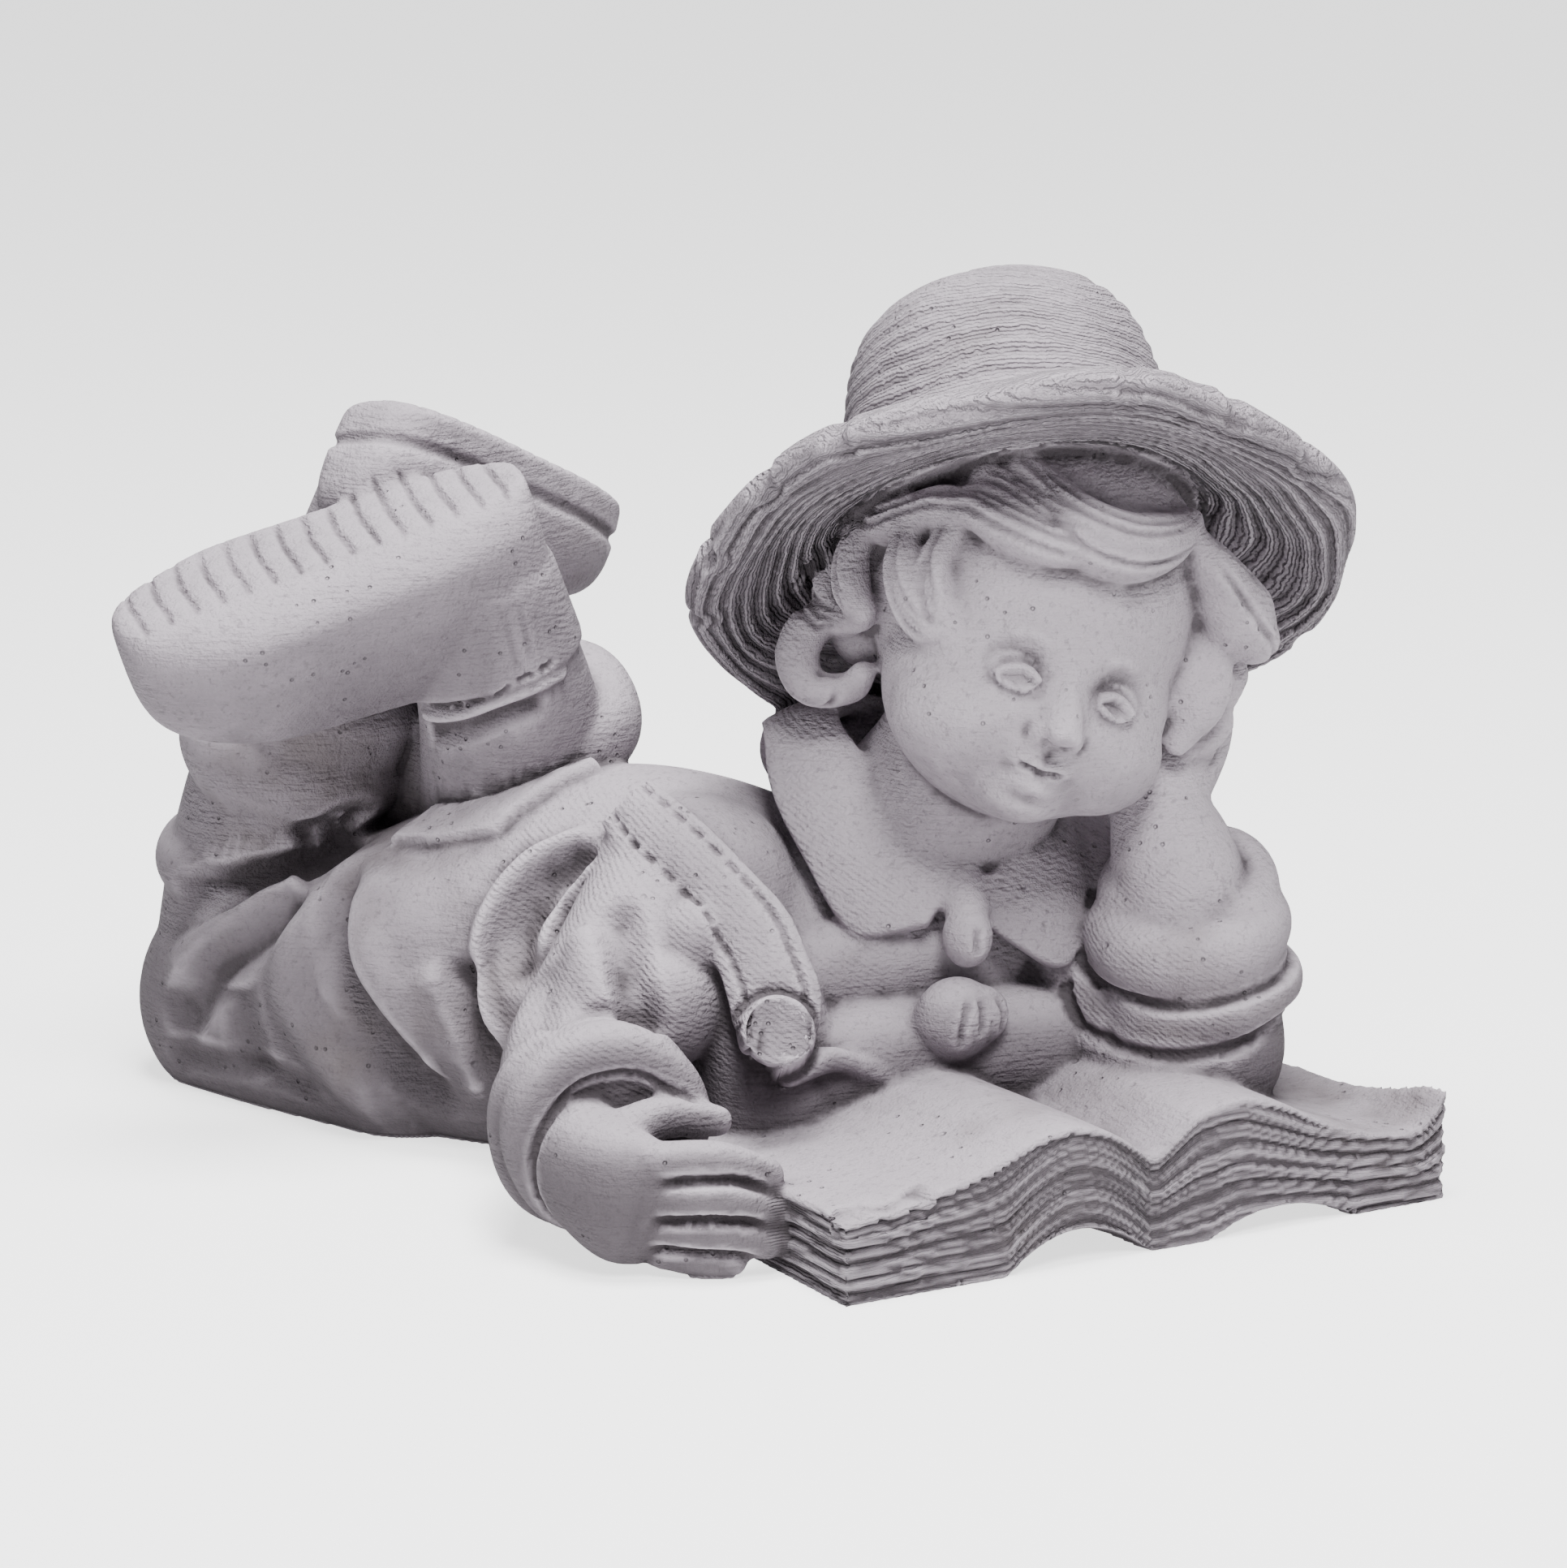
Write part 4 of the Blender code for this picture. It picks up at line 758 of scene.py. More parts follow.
# Folds of cloth: points on the body, half width, and height, or depth below zero
clothSettings = {
    "foldStrength": 1.2,
    "scarfFoldHalfWidth": 2.2,
    "scarfFoldDepth": 1.6,
    "trouserFolds": (
        ([(-47, 236, 66), (-45, 215, 73), (-38, 204, 76), (-28, 196, 79), (-16, 188, 84),
          (-6, 185, 90)], 9, -6),
        ([(-46, 236, 30), (-44, 220, 53), (-40, 207, 64), (-31, 195, 74), (-26, 190, 77)], 14, 4.5),
        ([(-46, 238, 20), (-47, 225, 33), (-46, 214, 45), (-43, 198, 58), (-37, 188, 69),
          (-30, 185, 75)], 12, -4.5),
        ([(-24, 149, 92), (-29, 167, 82), (-37, 175, 71), (-43, 178, 59), (-46, 175, 45), (-46, 163, 31),
          (-40, 147, 18), (-28, 132, 6)], 13, 3.8),
        ([(-28, 155, 88), (-35, 161, 79), (-41, 159, 69), (-45, 153, 56), (-45, 143, 45), (-40, 134, 34),
          (-33, 126, 21), (-28, 118, 8)], 12, -5.5),
        ([(-24, 148, 90), (-36, 150, 77), (-43, 142, 62), (-42, 131, 50), (-38, 122, 38),
          (-33, 114, 24)], 12, 3.8),
        ([(-47, 204, 44), (-47, 200, 30), (-44, 194, 12)], 14, -3),
        ([(-39, 122, 66), (-36, 114, 50), (-33, 108, 36), (-29, 102, 18)], 11, 3),
        ([(-34, 112, 70), (-33, 106, 52), (-30, 100, 38), (-28, 96, 20)], 10, -4),
        ([(-45, 244, 12), (-45, 217, 15), (-45, 189, 16), (-43, 164, 14)], 8, -2.2),
        ([(-28, 196, 86), (-21, 190, 92), (-15, 183, 96), (-6, 185, 92)], 10, -4),
    ),
    "sleeveFolds": (
        ([(3, 84, 108), (-4, 91, 102), (-11, 99, 96), (-19, 104, 87), (-27, 106, 74), (-30, 103, 62),
          (-31, 95, 50), (-31, 86, 40)], 5.5, 4.2),
        ([(0, 80, 102), (-9, 88, 94), (-18, 92, 84), (-24, 92, 72), (-28, 84, 58)], 10, -5),
        ([(-3, 76, 100), (-11, 82, 90), (-19, 83, 80), (-25, 79, 70)], 5, 3),
        ([(-20, 54, 93), (-27, 42, 84), (-33, 32, 75), (-37, 22, 65), (-36, 15, 58)], 10, -4.5),
        ([(-30, 56, 86), (-40, 42, 76), (-46, 30, 68)], 9, 2.5),
        ([(-36, 17, 64), (-47, 21, 70), (-58, 27, 71), (-70, 33, 64)], 8, -4),
        ([(-40, 62, 74), (-48, 52, 66), (-58, 44, 58), (-70, 40, 46)], 11, -2.2),
    ),
    "flap": [(-21, 154, 92), (-10, 117, 100), (25, 107, 118), (44, 150, 118)],
    "flapHeight": 4.0,
    "farFolds": (
        ([(66, 150, 98), (84, 160, 78), (92, 170, 52), (90, 180, 25)], 11, -4.5),
        ([(58, 176, 92), (78, 188, 70), (86, 202, 40)], 10, 4),
        ([(74, 130, 84), (86, 138, 58), (88, 146, 30)], 10, -4),
        ([(40, 222, 60), (58, 214, 48), (72, 206, 26)], 11, -4),
        ([(120, 62, 92), (140, 42, 82), (150, 12, 64), (146, -20, 50)], 10, -4.5),
        ([(104, 78, 88), (124, 72, 72), (140, 56, 50)], 9, 4),
        ([(112, 80, 66), (130, 66, 50), (142, 44, 30)], 9, -3.5),
    ),
    "scarfFolds": (
        [(52, -31, 67), (48, -33, 60), (46, -33, 52), (48, -31, 46)],
        [(57, -32, 66), (56, -34, 58), (55, -34, 50)],
        [(63, -32, 66), (65, -33, 58), (64, -32, 50)],
        [(58, -27, 86), (57, -28, 80), (58, -28, 74)],
    ),
}


def circle(centre, axis, radius):
    side = unit(np.cross(axis, (0.3, 0.1, 1.0) if abs(unit(axis)[2]) < 0.9 else (1.0, 0.2, 0.0)))
    other = np.cross(unit(axis), side)
    turn = np.linspace(0, 2 * math.pi, 25)
    return np.array(centre) + radius * (np.cos(turn)[:, None] * side + np.sin(turn)[:, None] * other)


def sculptArms(skin):
    s = armSettings
    for line in s["fingerGaps"]:
        skin.fold(line, s["gapHalfWidth"], -s["gapDepth"], 0.25)
    for centre, axis, radius, halfWidth, depth in s["creases"]:
        skin.fold(circle(centre, axis, radius), halfWidth, -depth, 0)


def sculptCloth(skin):
    s = clothSettings
    for line in s["scarfFolds"]:
        skin.fold(line, s["scarfFoldHalfWidth"], -s["scarfFoldDepth"], 0.2)
    for points, halfWidth, height in s["trouserFolds"] + s["sleeveFolds"] + s["farFolds"]:
        skin.fold(points, halfWidth, s["foldStrength"] * height)
    skin.patch(s["flap"], s["flapHeight"])


def sculptStrap(skin):
    s = strapSettings
    outer, inner = np.array(s["outer"], float), np.array(s["inner"], float)
    for share in s["stitchRows"]:
        skin.stitches(outer + share * (inner - outer) + s["stitchLift"])


def sculptButton(skin):
    # a flat round face, slightly dished, with a groove round it
    s = strapSettings
    way = unit(s["buttonWay"])
    local = skin.co - s["button"]
    along = local @ way
    off = np.linalg.norm(local - along[:, None] * way, axis=1)
    edge = s["buttonEdge"]
    picked = np.flatnonzero((off < edge + 4) & (np.abs(along) < 14) & (skin.out @ way > -0.2))
    rim = smoothStep((edge - off[picked]) / 2.0)
    dish = s["buttonDish"] * smoothStep((edge - 2.5 - off[picked]) / 2.0)
    skin.co[picked] += ((s["buttonFace"] - dish - along[picked]) * rim)[:, None] * way
    ringed = np.exp(-(((off[picked] - edge - 1.2) / 1.3) ** 2))
    skin.co[picked] -= s["buttonGroove"] * ringed[:, None] * way


def bookLocal(co):
    local = co - bookSettings["corner"]
    across, back = local @ bookAcross, local @ bookBack
    low, high = pageFloor(across, back), pageTop(across, back)
    return across, back, (co[:, 2] - low) / (high - low)


def pageWave(across, back, level):
    run = across + back
    return level * bookSettings["bundles"] + 0.34 * np.sin(run / 19.0) + 0.2 * np.sin(run / 8.3 + 1)


def sculptPages(skin):
    # page edges on the front and both sides of the book
    s = bookSettings
    across, back, level = bookLocal(skin.co)
    block = (level > 0.03) & (level < 0.94) & (back < s["depth"] - 8)
    sides = (
        (np.abs(back) < 3, bookBack),
        (np.abs(across) < 3, bookAcross),
        (np.abs(across - s["width"]) < 3, -bookAcross),
    )
    wave = pageWave(across, back, level)
    coarse = (0.5 + 0.5 * np.cos(2 * math.pi * wave)) ** 4
    fine = (0.5 + 0.5 * np.cos(2 * math.pi * (2.4 * wave + 0.3 * np.sin((across + back) / 11.0)))) ** 2
    swell = 0.5 + 0.5 * np.sin(2 * math.pi * wave / 2.7 + across / 40.0)
    uneven = 0.65 + 0.35 * np.sin(across / 31.0 + 2)
    depth = s["lineDepth"] * (coarse * uneven + 0.3 * fine) + s["swellDepth"] * swell
    for close, inward in sides:
        picked = np.flatnonzero(close & block & (skin.out @ inward < -0.4))
        skin.co[picked] += inward * depth[picked, None]
    torn = (back < 9 + 3 * np.sin(across / 4.0)) & (level > 0.8)
    lip = np.flatnonzero((across > -3) & (across < s["lipWidth"]) & torn)
    drop = s["lipDepth"] * smoothStep((s["lipWidth"] - across[lip]) / 5)
    skin.co[lip, 2] -= drop * (0.8 + 0.2 * np.sin(across[lip] / 2.1))


def shoeLocal(co, s):
    local = co - s["heel"]
    side = local @ np.cross(s["soleUp"], s["toeWay"])
    return local @ s["toeWay"] / s["length"], side, local @ s["soleUp"]


def roundToe(skin, s):
    along, side, high = shoeLocal(skin.co, s)
    toe = smoothStep((along - shoeSettings["toeStart"]) / shoeSettings["toeFade"]) * (along < 1.3)
    skin.relax(shoeSettings["toeRounds"], toe * (np.abs(side) < 42) * (high < 9) * (high > -62))
    skin.measure()


def grooveSole(skin, s):
    along, side, high = shoeLocal(skin.co, s)
    onSole = (np.abs(high + shoeSettings["soleEdge"]) < 9) & (skin.out @ s["soleUp"] > 0.6)
    picked = np.flatnonzero(onSole & (along > 0.05) & (along < 0.95) & (np.abs(side) < 30))
    along, side = along[picked], side[picked]
    wave = np.cos(2 * math.pi * along * (shoeSettings["grooves"] + 1) + 0.3 * np.sin(side / 5))
    inner = smoothStep((13 - side) / 5) * smoothStep((side + 27) / 3)
    skin.push(picked, -shoeSettings["grooveDepth"] * np.clip(wave, 0, 1) ** 4 * inner)


def cutWelt(skin, s):
    along, side, high = shoeLocal(skin.co, s)
    below, half = shoeSettings["weltBelow"], shoeSettings["weltHalfWidth"]
    around = (np.abs(side) < 36) & (np.abs(along - 0.5) < 0.56)
    picked = np.flatnonzero((np.abs(high + below) < half) & around)
    skin.push(picked, -shoeSettings["weltDepth"] * (1 - ((high[picked] + below) / half) ** 2))


def sculptShoes(skin):
    s = shoeSettings
    roundToe(skin, s["left"])
    grooveSole(skin, s["left"])
    skin.fold(s["ankle"], *s["ankleGroove"])
    skin.fold(s["opening"], *s["openingRidge"])
    skin.stitches(s["stitchRow"])
    grooveSole(skin, s["right"])
    cutWelt(skin, s["right"])


def hatLocal(co):
    local = co - hatSettings["centre"]
    front, left = local @ hatFront, local @ hatLeft
    return np.hypot(front, left), np.arctan2(left, front), local @ hatAxis


def brimHeight(radius, turn):
    middle = np.interp(radius, (56, 68, 82, 94, 104), (16, 11, 5, -1.5, -5))
    return middle + brimShare(radius) * brimWave(turn)


def onStraw(radius, turn, height):
    # masks of the brim and of the crown
    brim = (radius > 55) & (radius < 112) & (np.abs(height - brimHeight(radius, turn)) < 10)
    return brim, (radius < 64) & (height > 24)


def strawWave(radius, turn, height):
    run = np.where(radius > 58, radius, 58 + (height - 26) * 0.9)
    wild = 0.35 + 0.65 * (radius > 58)
    return (
        run / hatSettings["strandPitch"]
        + 0.6 * np.sin(2 * turn + 1)
        + 0.4 * np.sin(3 * turn + run / 17)
        + wild * (0.24 * np.sin(7 * turn - run / 9 + 2) + 0.08 * np.sin(13 * turn + run / 5))
    )


def sculptHat(skin):
    s = hatSettings
    radius, turn, height = hatLocal(skin.co)
    brim, crown = onStraw(radius, turn, height)
    picked = np.flatnonzero(brim | crown)
    r, t, h = radius[picked], turn[picked], height[picked]
    wave = strawWave(r, t, h)
    under = skin.out[picked] @ hatAxis < 0
    rough = 0.65 + 0.35 * np.sin(3 * t + r / 7) * np.sin(5 * t - r / 11 + 1)
    brimDepth = np.where(under, s["strandDepth"], s["upperShare"] * s["strandDepth"])
    depth = np.where(brim[picked], brimDepth, s["crownDepth"])
    groove = np.abs(np.cos(math.pi * wave)) ** 3 + 0.35 * np.abs(np.cos(2.3 * math.pi * wave + t)) ** 3
    skin.push(picked, -depth * rough * groove)
    chipRim(skin, radius, turn, brim)


def chipRim(skin, radius, turn, brim):
    for place, half, deep in hatSettings["chips"]:
        off = (np.degrees(turn) - place + 180) % 360 - 180
        picked = np.flatnonzero((np.abs(off) < half) & (radius > 88) & brim)
        inward = (1 - (off[picked] / half) ** 2) * smoothStep((radius[picked] - 90) / 10) * deep
        way = np.cos(turn[picked])[:, None] * hatFront + np.sin(turn[picked])[:, None] * hatLeft
        skin.co[picked] -= way * inward[:, None]


def sculptHair(skin):
    s = hairSettings
    for path, sizes in s["locks"]:
        wide = max(a for a, _ in sizes)
        path = np.array(path, float)
        for share in (-0.6, 0.0, 0.55):
            line = [onHead(*(p * 1.12 + np.array((0, 0, share * wide)))) for p in path]
            skin.fold(line, s["grooveHalfWidth"], -s["grooveDepth"], 0.3)


# The face: a calm child's face of plain proportions, in the head's own measures

faceSettings = {
    # the part that is smoothed first: its half width, top and bottom
    "half": 44,
    "top": 28,
    "bottom": -60,
    "rounds": 28,
    # features on the head: across and up from its middle
    "eye": (17.5, -7.0),
    "cheek": (22.0, -23.0),
    "nostril": (5.6, -21.5),
    "nose": (0.0, -21.5),
    "mouth": (0.0, -35.5),
    # swellings and hollows: feature, height, offset from it, half sizes
    "swellings": (
        ("eye", -5.6, (-1, 1.5), (11, 7.5)),
        ("eye", 1.5, (1, 12), (12, 4)),
        ("cheek", 1.6, (0, 0), (13, 10)),
        ("nostril", 3.0, (0, 0), (3.4, 3.2)),
        ("nose", 1.4, (0, 1), (4, 4)),
        ("mouth", 2.6, (0, 1), (12, 7)),
        ("mouth", 1.5, (3.6, 3), (4.4, 2.2)),
        ("mouth", 2.2, (0, -3.6), (6.5, 2.6)),
        ("mouth", -1.2, (0, 7), (2.0, 3.0)),
        ("mouth", -1.3, (0, -8), (8, 2.2)),
        ("mouth", 1.6, (0, -13), (9, 5)),
    ),
    "eyeball": (8.2, 5.6, 3.4),  # half width, half height, how far it stands out
    # lines beside a feature: points from its place, half width, height, fade
    "upperLid": ([(-8.6, -1.8), (-5, 1.9), (0, 3.4), (5, 1.8), (8.8, -2.2)], 1.9, 2.5, 0.1),
    "lowerLid": ([(-8.2, -2.2), (-4, -4.6), (1, -5.2), (5, -4.2), (8.6, -2.2)], 1.7, 2.0, 0.1),
    "brow": ([(-9, 9), (-3, 12.2), (4, 12.2), (11, 8)], 3.2, 0.9, 0.3),
    "noseWing": ([(8.4, 3), (9.6, -1), (8.6, -4.5)], 1.8, -1.2, 0.3),
    "lips": ([(-10.5, 0), (-6, 0.5), (-2.5, 0.9), (0, 0.1), (2.5, 0.9), (6, 0.5), (10.5, 0)],
             1.9, -2.4, 0.12),
    # creases that run along a lid: its name, share of its width, shift, half width, height, fade
    "lidCreases": (
        ("upperLid", 1.0, (0, 3.0), 1.7, -1.1, 0.2),
        ("upperLid", 0.97, (-0.025, -1.9), 1.5, -1.3, 0.15),
        ("lowerLid", 1.0, (0, 1.7), 1.2, -0.6, 0.2),
    ),
    # dents beside a feature: place from it, reach, depth, steepness
    "iris": ((-0.6, -1.0), 2.6, 0.45, 4),
    "nostrilHole": ((3.6, -3.4), 2.2, 1.5, 2),
    "mouthCorner": ((11.0, -0.2), 3.0, 0.6, 2),
    # how far before the head's middle the lines and dents are laid out
    "before": {"eye": 50, "noseWing": 50, "nostrilHole": 54, "mouthCorner": 48, "lips": 52},
}


def bump(x, z, place, size):
    return np.exp(-((x - place[0]) / size[0]) ** 2 - ((z - place[1]) / size[1]) ** 2)


def sculptFace(skin):
    s = faceSettings
    local = skin.co - headCentre
    side, y, z = np.abs(local @ headAcross), local @ headBack, local @ headUp
    front = (y < -12) & (z < s["top"]) & (z > s["bottom"] + 2) & (side < s["half"])
    front &= skin.out @ headBack < -0.05
    calm = smoothStep((s["half"] - side) / 8) * smoothStep((s["top"] - z) / 6)
    calm *= smoothStep((z - s["bottom"]) / 8) * front * (1 - bump(side, z, (0, -14), (8, 14)))
    skin.relax(s["rounds"], calm)
    skin.measure()
    picked = np.flatnonzero(front)
    side, z = side[picked], z[picked]
    out = np.zeros(len(picked))
    for feature, height, offset, size in s["swellings"]:
        out += height * bump(side, z, np.add(s[feature], offset), size)
    skin.co[picked] -= out[:, None] * headBack
    wide, tall, proud = s["eyeball"]
    dome = 1 - ((side - s["eye"][0]) / wide) ** 2 - ((z - s["eye"][1]) / tall) ** 2
    skin.co[picked] -= (proud * np.sqrt(np.clip(dome, 0, 1)))[:, None] * headBack
    skin.measure()
    for way in (-1, 1):
        sculptEye(skin, way)
        sculptNoseSide(skin, way)
    points, *stroke = s["lips"]
    skin.fold(faceLine("mouth", points, s["before"]["lips"]), *stroke)


def faceLine(feature, points, before, way=1):
    across, up = faceSettings[feature]
    return [onHead(way * (across + px), -before, up + pz) for px, pz in points]


def sculptEye(skin, way):
    s = faceSettings
    before = s["before"]["eye"]
    for name in ("upperLid", "lowerLid"):
        points, *stroke = s[name]
        skin.fold(faceLine("eye", points, before, way), *stroke)
    for name, wide, shift, *stroke in s["lidCreases"]:
        points = np.array(s[name][0]) * (wide, 1) + shift
        skin.fold(faceLine("eye", points, before, way), *stroke)
    (across, up), *dent = s["iris"]
    skin.dent(faceLine("eye", [(way * across, up)], before, way), *dent)  # both look the same way
    points, *stroke = s["brow"]
    skin.fold(faceLine("eye", points, before, way), *stroke)


def sculptNoseSide(skin, way):
    s = faceSettings
    place, *dent = s["nostrilHole"]
    skin.dent(faceLine("nose", [place], s["before"]["nostrilHole"], way), *dent)
    points, *stroke = s["noseWing"]
    skin.fold(faceLine("nose", points, s["before"]["noseWing"], way), *stroke)
    place, *dent = s["mouthCorner"]
    skin.dent(faceLine("mouth", [place], s["before"]["mouthCorner"], way), *dent)


# Facts the stone material needs, kept as attributes of the mesh

factSettings = {
    "fineRounds": 4,
    "broadRounds": 36,
    "fineCrease": 0.42,  # depth at which a fine crease is fully dark with dirt and painted shade
    "broadCrease": 2.6,
    "wornEdge": 0.5,
    "faceMiddle": (90, -30, 130),
    "paleReach": 105,  # paler round the face, which fades out over the next value
    "paleFade": 45,
    "lowTop": 105,  # darker towards the ground
    "lowFade": 90,
    "threadWay": (0.30, -0.42, 0.86),
    "threadPitch": 1.7,
    # no thread on the head, the hand beside it and the scarf: middle and reach
    "bare": ((headCentre, 70), ((126, -42, 118), 32), ((58, -22, 66), 26)),
}


def depthBelow(skin, smooth):
    return ((smooth - skin.co) * skin.out).sum(axis=1)


def creases(skin):
    # dirt and painted shade where the skin lies below its smoothed self, wear where it stands above
    s = factSettings
    smooth = skin.co.copy()
    for _ in range(s["fineRounds"]):
        smooth = smooth + 0.7 * (skin.around(smooth) - smooth)
    fine = depthBelow(skin, smooth)
    for _ in range(s["broadRounds"]):
        smooth = smooth + 0.9 * (skin.around(smooth) - smooth)
    broad = depthBelow(skin, smooth)
    dirtAndShade = smoothStep(fine / s["fineCrease"]) * 0.55 + smoothStep(broad / s["broadCrease"]) * 0.6
    for _ in range(2):
        dirtAndShade = skin.around(dirtAndShade[:, None])[:, 0]
    return np.clip(dirtAndShade, 0, 1), smoothStep(-fine / s["wornEdge"])


def nearestPoints(source, targets):
    tree = KDTree(len(source))
    for k, p in enumerate(source.tolist()):
        tree.insert(p, k)
    tree.balance()
    return np.array([tree.find(p)[1] for p in targets.tolist()])


def isShirt(co):
    x, y, z = co.T
    cloth = (z > 45) & (y < 110) & (x > -80)
    for middle, reach in factSettings["bare"]:
        cloth &= np.linalg.norm(co - middle, axis=1) > reach
    return cloth & ((y > -14 - 0.6 * (x + 60)) | (x > 60) | (z > 66))


def stoneFacts(skin, co):
    # each fact's values at the points of the thinned mesh
    s = factSettings
    dirtAndShade, edge = creases(skin)
    nearest = nearestPoints(skin.co, co)
    rise = skin.out[nearest, 2]
    hatPlace = hatLocal(co)
    brim, crown = onStraw(*hatPlace)
    across, back, level = bookLocal(co)
    atEdge = (np.abs(back) < 6) | (np.abs(across) < 6) | (np.abs(across - bookSettings["width"]) < 6)
    fromFace = np.linalg.norm((co - s["faceMiddle"]) / (1, 1, 1.3), axis=1)
    low = smoothStep((s["lowTop"] - co[:, 2]) / s["lowFade"])
    return {
        # dirt and painted shade in the creases
        "dirtAndShade": dirtAndShade[nearest],
        "edge": edge[nearest],
        # painted shade: darker where the skin faces down
        "under": np.clip(0.15 - rise, 0, 1),
        # painted light: paler where the skin faces up
        "paintedTopLight": smoothStep((rise - 0.1) / 0.8),
        "paleRoundFace": smoothStep((s["paleReach"] - fromFace) / s["paleFade"]),
        "low": low * smoothStep((0.95 - rise) / 0.7),
        "onShirt": isShirt(co) & ~(brim | crown),
        "threadWave": co @ s["threadWay"] / s["threadPitch"] + 0.35 * np.sin(co @ (0.11, 0.05, 0.02)),
        "onHat": brim + 0.5 * crown,
        "strawWave": strawWave(*hatPlace),
        "onPages": atEdge & (level < 0.95) & (co[:, 2] < 60),
        "pageWave": pageWave(across, back, level),
    }


def thinOut(obj, skin):
    rebuild(obj, skin.co * sculpt["unit"], skin.faces)
    bpy.ops.object.select_all(action="DESELECT")
    obj.select_set(True)
    bpy.context.view_layer.objects.active = obj
    thin = obj.modifiers.new("Thin", "DECIMATE")
    thin.ratio = sculpt["triangles"] / (2 * len(skin.faces))
    bpy.ops.object.modifier_apply(modifier=thin.name)
    bpy.ops.object.shade_smooth()


# Build the figure

for block in (addBook, addTorso, addLegs, addShoes, addArms, addHead, addHat, addCollar, addStrap, addScarf):
    block()
print("blocked out the figure")
boy = joinForms(sculpt["cell"])
skin = Skin(*keepLargest(verticesOf(boy.data), facesOf(boy.data)))
print("joined into one skin of", len(skin.faces), "squares")
skin.relax(sculpt["relaxRounds"])
skin.measure()
for carve in (sculptFace, sculptHair, sculptArms, sculptCloth, sculptStrap, sculptButton, sculptPages,
              sculptShoes, sculptHat):
    carve(skin)
skin.co[skin.co[:, 2] < sculpt["flatBand"], 2] = 0
skin.co = np.clip(skin.co, np.array(cadLow) / sculpt["unit"], np.array(cadHigh) / sculpt["unit"])
skin.measure()
print("sculpted face, hair, cloth, book, shoes and hat")

thinOut(boy, skin)
for name, values in stoneFacts(skin, verticesOf(boy.data) / sculpt["unit"]).items():
    fact = boy.data.attributes.new(name, "FLOAT", "POINT")
    fact.data.foreach_set("value", np.asarray(values, np.float32))
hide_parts("reading_boy")
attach(boy, "root")
print("thinned to", len(boy.data.polygons), "faces")


# Cast stone

stoneSettings = {
    "colour": (0.200, 0.176, 0.198, 1),
    "midColour": (0.300, 0.266, 0.297, 1),
    "paleColour": (0.560, 0.504, 0.556, 1),
    "dirtAndShadeColour": (0.048, 0.040, 0.045, 1),
    "stainColour": (0.130, 0.110, 0.106, 1),
    "lowColour": (0.075, 0.064, 0.072, 1),
    "roughness": 0.88,
    "gloss": 0.25,
    # patterns of noise: scale per metre, detail, roughness
    "clouds": (14, 3, 0.55),
    "stains": (9, 4, 0.65),
    "specks": (420, 3, 0.7),
    "patches": (55, 4, 0.65),
    "grain": (900, 1, 0.6),
    "worn": (160, 4, 0.7),
    "brushed": (260, 2, 0.6),
    "lumps": (75, 2, 0.6),
    # pits and blow holes: scale, the dent's inner and outer edge, the noise of where they lie, its two ends
    "pits": (190, 0.05, 0.16, (33, 2, 0.5), 0.52, 0.6),
    "holes": (85, 0.04, 0.13, (21, 2, 0.5), 0.54, 0.62),
    "brushedStretch": (0.35, 0.35, 2.6),
    "brushedTurn": (0.35, -0.25, 0),
    # lines from facts: the wave, its mask, radians per wave, and how far the worn noise bends them
    "straw": ("strawWave", "onHat", 27.0, 14.0),
    "pages": ("pageWave", "onPages", 31.0, 9.0),
    "thread": ("threadWave", "onShirt", 2 * math.pi, 5.0),
    "reliefDepth": 0.0012,
}


class Shader:
    # makes and joins the nodes of one material; a value is a number, a colour or another node's output
    def __init__(self, tree):
        self.tree = tree

    def add(self, kind, **choices):
        made = self.tree.nodes.new(kind)
        row, column = divmod(len(self.tree.nodes), 12)
        made.location = (220 * column - 3000, -320 * row)
        for name, choice in choices.items():
            setattr(made, name, choice)
        return made

    def feed(self, made, values):
        for socket, value in values.items():
            if isinstance(value, bpy.types.NodeSocket):
                self.tree.links.new(value, made.inputs[socket])
            else:
                made.inputs[socket].default_value = value

    def maths(self, operation, a, b=0.0):
        made = self.add("ShaderNodeMath", operation=operation)
        self.feed(made, {0: a, 1: b})
        return made.outputs[0]

    def noise(self, source, pattern):
        made = self.add("ShaderNodeTexNoise")
        self.feed(made, {"Vector": source} | dict(zip(("Scale", "Detail", "Roughness"), pattern)))
        return made.outputs["Fac"]

    def mapped(self, value, low, high):
        made = self.add("ShaderNodeMapRange", interpolation_type="SMOOTHSTEP")
        self.feed(made, {"Value": value, "From Min": low, "From Max": high})
        return made.outputs["Result"]

    def mixed(self, share, a, b):
        made = self.add("ShaderNodeMix", data_type="RGBA")
        self.feed(made, {0: share, 6: a, 7: b})
        return made.outputs[2]

    def fact(self, name):
        return self.add("ShaderNodeAttribute", attribute_name=name).outputs["Fac"]

    def dents(self, source, scale, inner, outer, pattern, low, high):
        # round dents, in some places only
        made = self.add("ShaderNodeTexVoronoi")
        self.feed(made, {"Vector": source, "Scale": scale})
        dents = self.maths("SUBTRACT", 1.0, self.mapped(made.outputs["Distance"], inner, outer))
        return self.maths("MULTIPLY", dents, self.mapped(self.noise(source, pattern), low, high))

    def lines(self, bend, wave, mask, radians, bendShare):
        run = self.maths("MULTIPLY", self.fact(wave), radians)
        run = self.maths("ADD", run, self.maths("MULTIPLY", bend, bendShare))
        return self.maths("MULTIPLY", self.maths("SINE", run), self.fact(mask))


